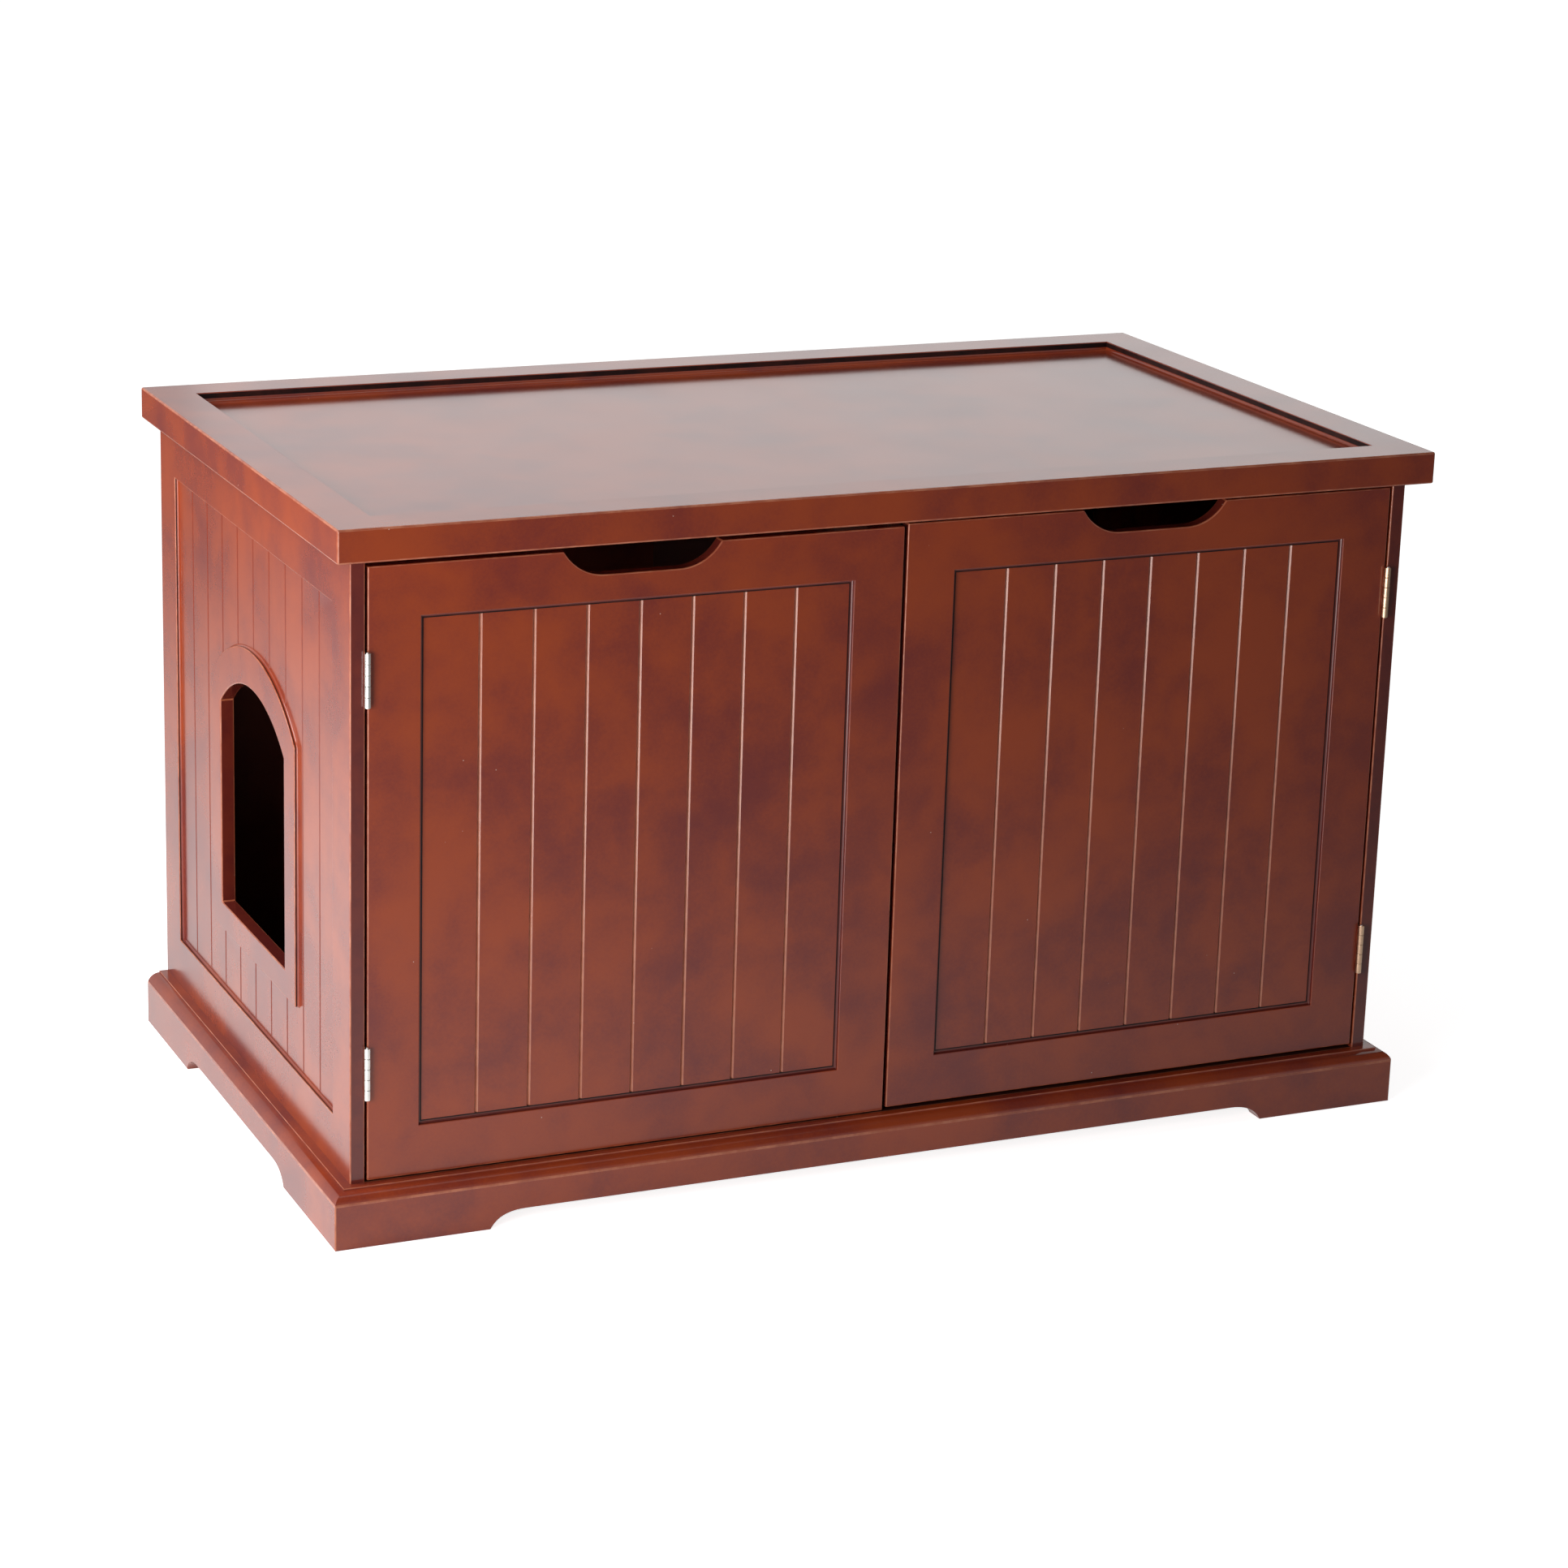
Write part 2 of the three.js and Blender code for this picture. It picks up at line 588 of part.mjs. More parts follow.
/** A countersunk cross-head screw. Its head's face is at the origin and it points along -Y. */
function screw() {
  const profile = [
    [0, -SCREW_LENGTH],
    [SCREW_SHANK, SCREW_POINT - SCREW_LENGTH],
    [SCREW_SHANK, -LEAF],
    [SCREW_HEAD, 0],
    [0, 0],
  ];
  const shank = new THREE.LatheGeometry(profile.map(([r, y]) => new THREE.Vector2(r, y)), ROUND);
  const arm = SCREW_CROSS / 2;
  const half = SCREW_CROSS_WIDTH / 2;
  const recess = [-SCREW_CROSS_DEPTH, 1];
  return cut(shank, [
    block([-arm, arm], recess, [-half, half]),
    block([-half, half], recess, [-arm, arm]),
  ]);
}

/** The end heights of every knuckle of a hinge, from the bottom up. */
function knuckleSpans(middle) {
  const pitch = HINGE_LENGTH / KNUCKLES;
  const foot = middle - HINGE_LENGTH / 2;
  return Array.from({ length: KNUCKLES }, (_, i) => (
    [foot + i * pitch + KNUCKLE_GAP / 2, foot + (i + 1) * pitch - KNUCKLE_GAP / 2]));
}

/** One hinge leaf: a plate let into its edge, and every other knuckle round the pin. */
function hingeLeaf(side, middle, woodFace, firstKnuckle) {
  const x = side * AXIS_X;
  const towardsAxis = Math.sign(AXIS_X - woodFace);
  const plateFace = woodFace + towardsAxis * LEAF;
  const spans = knuckleSpans(middle);
  const own = spans.filter((_, i) => i % 2 === firstKnuckle);
  const others = spans.filter((_, i) => i % 2 !== firstKnuckle);
  let leaf = toSolid(block([side * woodFace, side * plateFace],
    [AXIS_Y, BODY_FRONT + LEAF_REACH], [spans[0][0], spans[KNUCKLES - 1][1]]));
  for (const [low, high] of others) {
    const room = [low - KNUCKLE_GAP, high + KNUCKLE_GAP];
    leaf = leaf.subtract(toSolid(barZ(KNUCKLE_RADIUS + KNUCKLE_GAP, x, AXIS_Y, room)));
  }
  for (const span of own) {
    leaf = leaf.add(toSolid(barZ(KNUCKLE_RADIUS, x, AXIS_Y, span)));
  }
  const bore = [spans[0][0] - 1, spans[KNUCKLES - 1][1] + 1];
  leaf = leaf.subtract(toSolid(barZ(PIN_RADIUS + PIN_CLEARANCE, x, AXIS_Y, bore)));
  const seat = -side * towardsAxis;
  for (const z of [middle + HINGE_SCREW_SPREAD, middle - HINGE_SCREW_SPREAD]) {
    const radius = [SCREW_HEAD + PIN_CLEARANCE, SCREW_SHANK + PIN_CLEARANCE];
    if (seat < 0) radius.reverse();
    const sink = new THREE.CylinderGeometry(radius[1], radius[0], LEAF, ROUND);
    sink.rotateZ(-Math.PI / 2);
    sink.translate(side * (woodFace + plateFace) / 2, BODY_FRONT + LEAF_REACH / 2, z);
    leaf = leaf.subtract(toSolid(sink));
  }
  return toGeometry(leaf);
}

/** A hinge's two leaves, its pin and its four screws. */
function addHinge(sideName, side, levelName, middle) {
  const name = `${sideName}_${levelName}_hinge`;
  addPiece(`${name}_frame_leaf`, 'nickel', hingeLeaf(side, middle, SIDE_INNER, 0));
  addPiece(`${name}_door_leaf`, 'nickel', hingeLeaf(side, middle, DOOR_OUTER, 1));
  const half = HINGE_LENGTH / 2 + PIN_END;
  addPiece(`${name}_pin`, 'steel',
    barZ(PIN_RADIUS, side * AXIS_X, AXIS_Y, [middle - half, middle + half]));
  const y = BODY_FRONT + LEAF_REACH / 2;
  for (const [spot, z] of [['top', middle + HINGE_SCREW_SPREAD], ['bottom', middle - HINGE_SCREW_SPREAD]]) {
    addPiece(`${name}_frame_screw_${spot}`, 'steel',
      screw().rotateZ(side * Math.PI / 2).translate(side * (SIDE_INNER - LEAF), y, z));
    addPiece(`${name}_door_screw_${spot}`, 'steel',
      screw().rotateZ(-side * Math.PI / 2).translate(side * (DOOR_OUTER + LEAF), y, z));
  }
}

/** A magnetic catch under the lid, and its strike plate on the door's back. */
function addCatch(sideName, side) {
  const x = side * CATCH_OFFSET;
  const strikeFace = DOOR_BACK + STRIKE.thickness;
  const front = strikeFace + CATCH_AIR + MAGNET_SHOWS;
  const foot = LID_FOOT - CATCH_HEIGHT;
  const span = (width) => [x - width / 2, x + width / 2];
  const body = toSolid(block(span(CATCH_WIDTH), [front, front + CATCH_DEPTH], [foot, LID_FOOT]))
    .add(toSolid(block(span(CATCH_FLANGE), [front, front + CATCH_DEPTH],
      [LID_FOOT - CATCH_FLANGE_HEIGHT, LID_FOOT])));
  const magnetFoot = foot + CATCH_FLANGE_HEIGHT;
  const pocket = block(span(MAGNET.width + 2 * FIT),
    [front - 1, front + MAGNET.depth - MAGNET_SHOWS + FIT],
    [magnetFoot - FIT, magnetFoot + MAGNET.height + FIT]);
  const holeX = (CATCH_WIDTH + CATCH_FLANGE) / 4;
  const hole = (offset) => barZ(CATCH_HOLE, x + offset, front + CATCH_DEPTH / 2,
    [LID_FOOT - CATCH_FLANGE_HEIGHT - 1, LID_FOOT + 1]);
  const housing = [pocket, hole(-holeX), hole(holeX)]
    .reduce((rest, tool) => rest.subtract(toSolid(tool)), body);
  addPiece(`${sideName}_catch_housing`, 'plastic', toGeometry(housing));
  addPiece(`${sideName}_catch_magnet`, 'magnet',
    block(span(MAGNET.width), [front - MAGNET_SHOWS, front - MAGNET_SHOWS + MAGNET.depth],
      [magnetFoot, magnetFoot + MAGNET.height]));

  const strikeMiddle = STRIKE_TOP - STRIKE.height / 2;
  const sink = new THREE.CylinderGeometry(SCREW_HEAD + PIN_CLEARANCE, SCREW_SHANK + PIN_CLEARANCE,
    LEAF, ROUND).translate(x, strikeFace - LEAF / 2, strikeMiddle);
  addPiece(`${sideName}_strike_plate`, 'steel', cut(
    block(span(STRIKE.width), [DOOR_BACK, strikeFace], [STRIKE_TOP - STRIKE.height, STRIKE_TOP]),
    [sink, barY(SCREW_SHANK + PIN_CLEARANCE, x, [DOOR_BACK - 1, strikeFace], strikeMiddle)]));
  addPiece(`${sideName}_strike_screw`, 'steel', screw().translate(x, strikeFace, strikeMiddle));
}

// ---------------------------------------------------------------- the assembly

addLid();
addPlinth();
addCarcass();
addDivider();
addPiece('left_door', 'stained_board', door(LEFT, LEFT_DOOR_FOOT));
addPiece('right_door', 'stained_board', door(RIGHT, RIGHT_DOOR_FOOT));
for (const [sideName, side] of [['left', LEFT], ['right', RIGHT]]) {
  for (const [levelName, middle] of Object.entries(HINGE_HEIGHTS)) {
    addHinge(sideName, side, levelName, middle);
  }
  addCatch(sideName, side);
}

export default cabinet;
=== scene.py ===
"""The looks of a cat litter box cabinet: a stained and lacquered bench with two grooved doors,
an arched cat entry, a recessed lid and a moulded plinth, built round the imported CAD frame."""

import math

import bmesh
import bpy
from mathutils import Matrix, Vector


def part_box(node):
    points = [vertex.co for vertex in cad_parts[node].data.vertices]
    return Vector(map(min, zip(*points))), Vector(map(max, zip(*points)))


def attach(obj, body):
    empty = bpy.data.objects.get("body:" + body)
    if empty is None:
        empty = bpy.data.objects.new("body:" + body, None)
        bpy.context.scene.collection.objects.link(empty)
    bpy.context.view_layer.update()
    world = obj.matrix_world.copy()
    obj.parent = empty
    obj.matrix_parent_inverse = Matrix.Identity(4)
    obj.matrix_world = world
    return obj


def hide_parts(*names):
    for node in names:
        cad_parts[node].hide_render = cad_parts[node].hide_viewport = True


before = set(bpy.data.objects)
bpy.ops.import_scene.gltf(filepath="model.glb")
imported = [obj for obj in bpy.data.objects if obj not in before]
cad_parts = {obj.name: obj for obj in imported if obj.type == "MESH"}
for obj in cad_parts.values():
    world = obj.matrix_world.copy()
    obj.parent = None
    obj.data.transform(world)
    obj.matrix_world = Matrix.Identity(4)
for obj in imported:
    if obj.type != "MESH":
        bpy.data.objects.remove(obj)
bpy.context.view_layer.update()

MM = 0.001

# ------------------------------------------------------------------ camera

camera_data = bpy.data.cameras.new("camera")
camera_data.sensor_width = 36
camera_data.lens = 93.51
camera_data.shift_x = 0.0134
camera_data.shift_y = -0.0268
camera = bpy.data.objects.new("camera", camera_data)
right = Vector((0.9159944, -0.4001698, 0.0286070))
up = Vector((0.0885955, 0.2713101, 0.9584058))
camera.matrix_world = Matrix((right, up, right.cross(up))).transposed().to_4x4()
camera.location = (-1.37197, -3.05667, 1.28376)
camera_data.clip_end = 60
bpy.context.scene.collection.objects.link(camera)
bpy.context.scene.camera = camera

# ------------------------------------------------------------------ sizes, in millimetres

LID_HALF = (474, 270.5)
LID_TOP = 574
LID_FOOT = 547.5
LID_FLOOR = 566
RIM = 38
RIM_COVE = 3

SIDE_OUTER = 458.5
BODY_FRONT = -252.5
BODY_BACK = 268.5
SIDE_FOOT = 16
BOARD = 12
BOARD_ARRIS = 1

PLINTH_HALF = 476.5
PLINTH_FRONT = -270.5
PLINTH_THICK = 18
PLINTH_TOP = 47
PLINTH_FACE = 37.5
OVOLO = 10.5
GAP_RISE = 14

GROOVE_PITCH = 43.6
GROOVE_HALF = 1.5
GROOVE_DEEP = 1.5

ENTRY = {"middle": 5, "half": 88.5, "sill": 167, "radius": 135, "centre": 242}
ISLAND = {"middle": 5, "half": 115.5, "sill": 145, "radius": 165, "centre": 242}

AXIS_X = 445.5
AXIS_Y = -255.5
HINGE_LENGTH = 43
HINGE_HEIGHTS = {"upper": 453, "lower": 137.75}

# what a face is, kept in its material index until the mesh is made
PLAIN, FIELD, ARRIS, GROOVE, CUT, GLAZE_SHADE = range(6)

# the ways that a flat drawing (across, up, out) is stood up in the cabinet
FACING_FRONT = Matrix(((1, 0, 0), (0, 0, -1), (0, 1, 0))).to_4x4()
FACING_LEFT = Matrix(((0, 0, -1), (-1, 0, 0), (0, 1, 0))).to_4x4()
FACING_RIGHT = Matrix(((0, 0, 1), (1, 0, 0), (0, 1, 0))).to_4x4()
FACING_UP = Matrix.Identity(4)

# ------------------------------------------------------------------ drawing and shaping


def draw(bm, start, moves):
    """Draws a closed outline flat on the ground. A move is a point, or (centre, angle, steps)."""
    pen = first = bm.verts.new((*start, 0))
    before = set(bm.edges)
    for move in moves:
        if len(move) == 2:
            pen = bmesh.ops.extrude_vert_indiv(bm, verts=[pen])["verts"][0]
            pen.co = (*move, 0)
        else:
            centre, angle, steps = move
            swept = bmesh.ops.spin(bm, geom=[pen], cent=(*centre, 0), axis=(0, 0, 1),
                                   angle=angle, steps=steps, use_duplicate=False)
            pen = next(g for g in swept["geom_last"] if isinstance(g, bmesh.types.BMVert))
    bmesh.ops.weld_verts(bm, targetmap={pen: first})
    return [e for e in bm.edges if e not in before]


def only(made, kind):
    """What an operator made, of one kind."""
    return [g for g in made if isinstance(g, kind)]


def rectangle(bm, low, high):
    """A closed rectangular outline."""
    return draw(bm, low, [(high[0], low[1]), high, (low[0], high[1]), low])


def arch(bm, middle, half, sill, radius, centre):
    """An outline with straight legs under one shallow arc."""
    lean = math.asin(half / radius)
    spring = centre + radius * math.cos(lean)
    return draw(bm, (middle - half, sill), [
        (middle + half, sill),
        (middle + half, spring),
        ((middle, centre), 2 * lean, 40),
        (middle - half, sill),
    ])


def fill(bm, edges, tag):
    """Fills between the outlines and tags what it makes."""
    made = bmesh.ops.triangle_fill(bm, use_beauty=True, edges=edges)["geom"]
    faces = only(made, bmesh.types.BMFace)
    for face in faces:
        face.material_index = tag
    return faces


def thicken(bm, depth):
    """Gives the flat drawing its thickness, downwards."""
    for face in bm.faces:
        if face.normal.z < 0:
            face.normal_flip()
    made = bmesh.ops.extrude_face_region(bm, geom=bm.faces[:], use_keep_orig=True)["geom"]
    bmesh.ops.translate(bm, vec=(0, 0, -depth), verts=only(made, bmesh.types.BMVert))
    bm.normal_update()
    for face in only(made, bmesh.types.BMFace):
        face.material_index = PLAIN
    # the upright faces are tagged cut; the finish darkens them as painted shade
    for face in bm.faces:
        if abs(face.normal.z) < 0.5:
            face.material_index = CUT
    bmesh.ops.recalc_face_normals(bm, faces=bm.faces[:])


def arrises(bm, least=math.radians(40)):
    """The edges where two faces meet at more than the given angle."""
    return [e for e in bm.edges if len(e.link_faces) == 2 and e.calc_face_angle(0) > least]


def ease(bm, edges, radius, segments=3):
    """Rounds the edges."""
    made = bmesh.ops.bevel(bm, geom=edges, offset=radius, offset_type="OFFSET", segments=segments,
                           profile=0.5, affect="EDGES", clamp_overlap=True, material=-1)
    for face in made["faces"]:
        face.material_index = ARRIS


def sink(bm, faces, steps):
    """Lowers the faces in steps of (how far in, how far down, tag), which leave a moulded border."""
    for inwards, down, tag in steps:
        ring = bmesh.ops.inset_region(bm, faces=faces, thickness=inwards, depth=-down,
                                      use_boundary=True, use_even_offset=True)["faces"]
        for face in ring:
            face.material_index = tag


def moulding(arris, wall, cove, cove_steps=5, wall_tag=GLAZE_SHADE, cove_tag=GLAZE_SHADE, foot=0.0,
             arris_tag=PLAIN):
    """Steps for sink: a rounded arris, a straight wall, a cove and a flat foot. Wall, cove and foot take the
    near-black glaze by default, partly pooled glaze and partly painted shade of the recess.
    """
    steps = []
    for i in range(3):
        a, b = (math.pi / 2 * k / 3 for k in (i, i + 1))
        inwards, down = math.sin(b) - math.sin(a), math.cos(a) - math.cos(b)
        steps.append((arris * inwards, arris * down, arris_tag))
    steps.append((0, wall, wall_tag))
    for i in range(cove_steps):
        a, b = (math.pi / 2 * k / cove_steps for k in (i, i + 1))
        inwards, down = math.cos(a) - math.cos(b), math.sin(b) - math.sin(a)
        steps.append((cove * inwards, cove * down, cove_tag))
    if foot:
        steps.append((foot, 0, GLAZE_SHADE))
    return steps


def groove(bm, places):
    """Cuts upright V-grooves into the floor of a sunk field."""
    for middle in places:
        for line in (middle - GROOVE_HALF, middle, middle + GROOVE_HALF):
            floor = [f for f in bm.faces if f.material_index == FIELD]
            edges = {e for f in floor for e in f.edges}
            verts = {v for f in floor for v in f.verts}
            bmesh.ops.bisect_plane(bm, geom=[*floor, *edges, *verts], dist=1e-4,
                                   plane_co=(line, 0, 0), plane_no=(1, 0, 0))
    for middle in places:
        strip = [f for f in bm.faces if f.material_index == FIELD
                 and abs(f.calc_center_median().x - middle) < GROOVE_HALF]
        edges = {e for f in strip for e in f.edges}
        made = bmesh.ops.extrude_face_region(bm, geom=[*strip, *edges])["geom"]
        for face in only(made, bmesh.types.BMFace):
            face.material_index = GROOVE
        bottom = [v for v in only(made, bmesh.types.BMVert) if abs(v.co.x - middle) < 1e-3]
        bmesh.ops.translate(bm, vec=(0, 0, -GROOVE_DEEP), verts=bottom)
    bmesh.ops.remove_doubles(bm, verts=bm.verts[:], dist=1e-3)


def spread(count, pitch, middle):
    return [middle + (i - (count - 1) / 2) * pitch for i in range(count)]


def bar(bm, radius, low, high, x=0, y=0, segments=32):
    """An upright round bar with eased ends."""
    made = bmesh.ops.create_cone(bm, cap_ends=True, segments=segments, radius1=radius, radius2=radius,
                                 depth=high - low, matrix=Matrix.Translation((x, y, (low + high) / 2)))
    rims = [e for e in arrises(bm) if all(v in made["verts"] for v in e.verts)]
    ease(bm, rims, radius * 0.12, 2)


def crisp(bm, sharpest=math.radians(35)):
    """Smooth shading, but for the creases."""
    for face in bm.faces:
        face.smooth = True
    for edge in bm.edges:
        edge.smooth = edge.calc_face_angle(math.pi) < sharpest


def mark(mesh, name, tag):
    """Keeps a tag as an attribute that the finish reads."""
    values = mesh.attributes.new(name, "FLOAT", "FACE").data
    for polygon in mesh.polygons:
        values[polygon.index].value = float(polygon.material_index == tag)


def make(name, bm, material, body, stands_for, facing=FACING_UP, at=(0, 0, 0)):
    """Turns a shaped mesh into a piece that rides on a body and stands for CAD nodes."""
    bmesh.ops.transform(bm, matrix=Matrix.Translation(at) @ facing, verts=bm.verts[:])
    crisp(bm)
    bmesh.ops.scale(bm, vec=(MM, MM, MM), verts=bm.verts[:])
    mesh = bpy.data.meshes.new(name)
    bm.to_mesh(mesh)
    bm.free()
    mark(mesh, "arris", ARRIS)
    mark(mesh, "groove", GROOVE)
    mark(mesh, "cut", CUT)
    mesh.materials.append(material)
    # faces tagged for the near-black glaze, partly painted shade, take the second material
    glaze_shaded = any(polygon.material_index == GLAZE_SHADE for polygon in mesh.polygons)
    if glaze_shaded:
        mesh.materials.append(bpy.data.materials["dark_glaze_shade"])
    for polygon in mesh.polygons:
        polygon.material_index = int(polygon.material_index == GLAZE_SHADE)
    piece = bpy.data.objects.new(name, mesh)
    bpy.context.scene.collection.objects.link(piece)
    even = piece.modifiers.new("even_shading", "WEIGHTED_NORMAL")
    even.keep_sharp = True
    even.weight = 80
    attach(piece, body)
    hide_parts(*stands_for)
    return piece


def soften(node, material, body, radius=0.5):
    """A copy of a CAD node with its arrises eased, for boards and small mouldings."""
    bm = bmesh.new()
    bm.from_mesh(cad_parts[node].data)
    bmesh.ops.scale(bm, vec=(1 / MM, 1 / MM, 1 / MM), verts=bm.verts[:])
    bmesh.ops.remove_doubles(bm, verts=bm.verts[:], dist=1e-3)
    bmesh.ops.dissolve_limit(bm, angle_limit=math.radians(1), verts=bm.verts[:], edges=bm.edges[:])
    ease(bm, arrises(bm), radius, 2)
    return make(f"{node}_eased", bm, material, body, [node])


# ------------------------------------------------------------------ materials


def add(tree, kind, inputs=None, **settings):
    """Adds a node. An input is a plain value or another node's output."""
    node = tree.nodes.new(kind)
    for key, value in settings.items():
        setattr(node, key, value)
    for key, value in (inputs or {}).items():
        if isinstance(value, bpy.types.NodeSocket):
            tree.links.new(value, node.inputs[key])
        else:
            node.inputs[key].default_value = value
    return node


def group(name, inputs, outputs):
    tree = bpy.data.node_groups.new(name, "ShaderNodeTree")
    for label, kind, value in inputs:
        socket = tree.interface.new_socket(name=label, in_out="INPUT", socket_type=f"NodeSocket{kind}")
        if value is not None:
            socket.default_value = value
    for label, kind in outputs:
        tree.interface.new_socket(name=label, in_out="OUTPUT", socket_type=f"NodeSocket{kind}")
    return tree, add(tree, "NodeGroupInput"), add(tree, "NodeGroupOutput")


def cloud(tree, coordinates, scale, detail=2.0, roughness=0.5, distortion=0.0):
    return add(tree, "ShaderNodeTexNoise", {"Vector": coordinates, "Scale": scale, "Detail": detail,
               "Roughness": roughness, "Distortion": distortion}).outputs["Fac"]


def weigh(tree, *terms):
    """Adds up signals, each times its weight."""
    total = None
    for signal, weight in terms:
        inputs = {0: signal, 1: weight}
        if total is not None:
            inputs[2] = total
        kind = "MULTIPLY" if total is None else "MULTIPLY_ADD"
        total = add(tree, "ShaderNodeMath", inputs, operation=kind).outputs[0]
    return total


def blend(tree, factor, first, second):
    return add(tree, "ShaderNodeMix", {"Factor": factor, 6: first, 7: second}, data_type="RGBA").outputs[2]


def ramp(tree, value, low, high, smooth=True, to=(0.0, 1.0)):
    return add(tree, "ShaderNodeMapRange", {"Value": value, "From Min": low, "From Max": high,
               "To Min": to[0], "To Max": to[1]},
               interpolation_type="SMOOTHSTEP" if smooth else "LINEAR").outputs["Result"]


def stain_group():
    """Sprayed toner over a ground stain: soft clouds, a faint upright streak and a fine fleck.
    The arrises are rubbed pale, partly real wear and partly a painted highlight; the grooves take their own
    colour, a painted highlight on the doors and painted shade on the sides; the sawn edges and the door
    borders' recesses take a darker colour, painted shade."""
    tree, given, result = group(
        "sprayed_stain",
        [("Coordinates", "Vector", None), ("Ground", "Color", (0.3, 0.05, 0.02, 1)),
         ("Toner", "Color", (0.15, 0.03, 0.02, 1)), ("Rubbed and highlight", "Color", (0.5, 0.15, 0.05, 1)),
         ("Groove shading", "Color", (0.5, 0.2, 0.1, 1)), ("Shaded edge", "Color", (0.1, 0.02, 0.01, 1)),
         ("Cloud size", "Float", 1.0)],
        [("Color", "Color")])
    place = given.outputs["Coordinates"]
    sized = add(tree, "ShaderNodeVectorMath", {0: place, 3: given.outputs["Cloud size"]},
                operation="SCALE").outputs[0]
    upright = add(tree, "ShaderNodeMapping", {"Vector": place, "Scale": (1, 1, 0.16)}).outputs["Vector"]
    big = cloud(tree, sized, 7.5, 1.5, 0.45, 0.4)
    small = cloud(tree, sized, 19.0, 2.0, 0.5, 0.3)
    mist = cloud(tree, sized, 55.0, 3.0, 0.6)
    streak = cloud(tree, upright, 46.0, 2.0, 0.55)
    fleck = cloud(tree, place, 420.0, 3.0, 0.75)
    tone = weigh(tree, (big, 0.48), (small, 0.42), (mist, 0.10), (streak, 0.03), (fleck, 0.17))
    cover = ramp(tree, tone, 0.44, 0.82)
    sprayed = blend(tree, cover, given.outputs["Ground"], given.outputs["Toner"])
    patches = cloud(tree, place, 60.0, 4.0, 0.6)
    worn = sprayed
    # arris: pale, partly wear and partly painted highlight; groove: painted highlight, a dark painted shade
    # on the sides; cut: painted shade
    tagged = (("arris", "Rubbed and highlight", 0.3), ("groove", "Groove shading", 0.6), ("cut", "Shaded edge", 0.8))
    for name, colour, least in tagged:
        tag = add(tree, "ShaderNodeAttribute", attribute_name=name).outputs["Fac"]
        share = add(tree, "ShaderNodeMath", {0: tag, 1: ramp(tree, patches, 0.35, 0.7, to=(least, 0.95))},
                    operation="MULTIPLY").outputs[0]
        worn = blend(tree, share, worn, given.outputs[colour])
    tree.links.new(worn, result.inputs["Color"])
    return tree


def skin_group():
    """The surface of sprayed lacquer: orange peel, a few nibs of dust, and smeared gloss."""
    tree, given, result = group(
        "lacquer_skin",
        [("Coordinates", "Vector", None), ("Roughness", "Float", 0.3), ("Peel", "Float", 0.05)],
        [("Roughness", "Float"), ("Normal", "Vector"), ("Nibs", "Float")])
    place = given.outputs["Coordinates"]
    peel = cloud(tree, place, 260.0)
    smear = cloud(tree, place, 14.0, 4.0)
    dots = add(tree, "ShaderNodeTexVoronoi", {"Vector": place, "Scale": 75.0})
    nibs = add(tree, "ShaderNodeMapRange", {"Value": dots.outputs["Distance"], "From Min": 0.035,
               "From Max": 0.02, "To Min": 0.0, "To Max": 1.0})
    pick = add(tree, "ShaderNodeSeparateColor", {"Color": dots.outputs["Color"]})
    few = add(tree, "ShaderNodeMath", {0: pick.outputs[0], 1: 0.86}, operation="GREATER_THAN")
    chosen = add(tree, "ShaderNodeMath", {0: nibs.outputs["Result"], 1: few.outputs[0]},
                 operation="MULTIPLY")
    height = add(tree, "ShaderNodeMath", {0: chosen.outputs[0], 1: 3.0, 2: peel},
                 operation="MULTIPLY_ADD")
    bump = add(tree, "ShaderNodeBump", {"Strength": given.outputs["Peel"], "Distance": 0.0004,
               "Height": height.outputs[0]})
    vary = add(tree, "ShaderNodeMath", {0: smear, 1: 0.08, 2: -0.04}, operation="MULTIPLY_ADD")
    rough = add(tree, "ShaderNodeMath", {0: given.outputs["Roughness"], 1: vary.outputs[0]},
                operation="ADD")
    tree.links.new(rough.outputs[0], result.inputs["Roughness"])
    tree.links.new(bump.outputs["Normal"], result.inputs["Normal"])
    tree.links.new(chosen.outputs[0], result.inputs["Nibs"])
    return tree


STAIN = stain_group()
SKIN = skin_group()


def material(name):
    made = bpy.data.materials.new(name)
    made.use_nodes = True
    made.node_tree.nodes.clear()
    tree = made.node_tree
    surface = add(tree, "ShaderNodeBsdfPrincipled")
    add(tree, "ShaderNodeOutputMaterial", {"Surface": surface.outputs["BSDF"]})
    return made, tree, surface


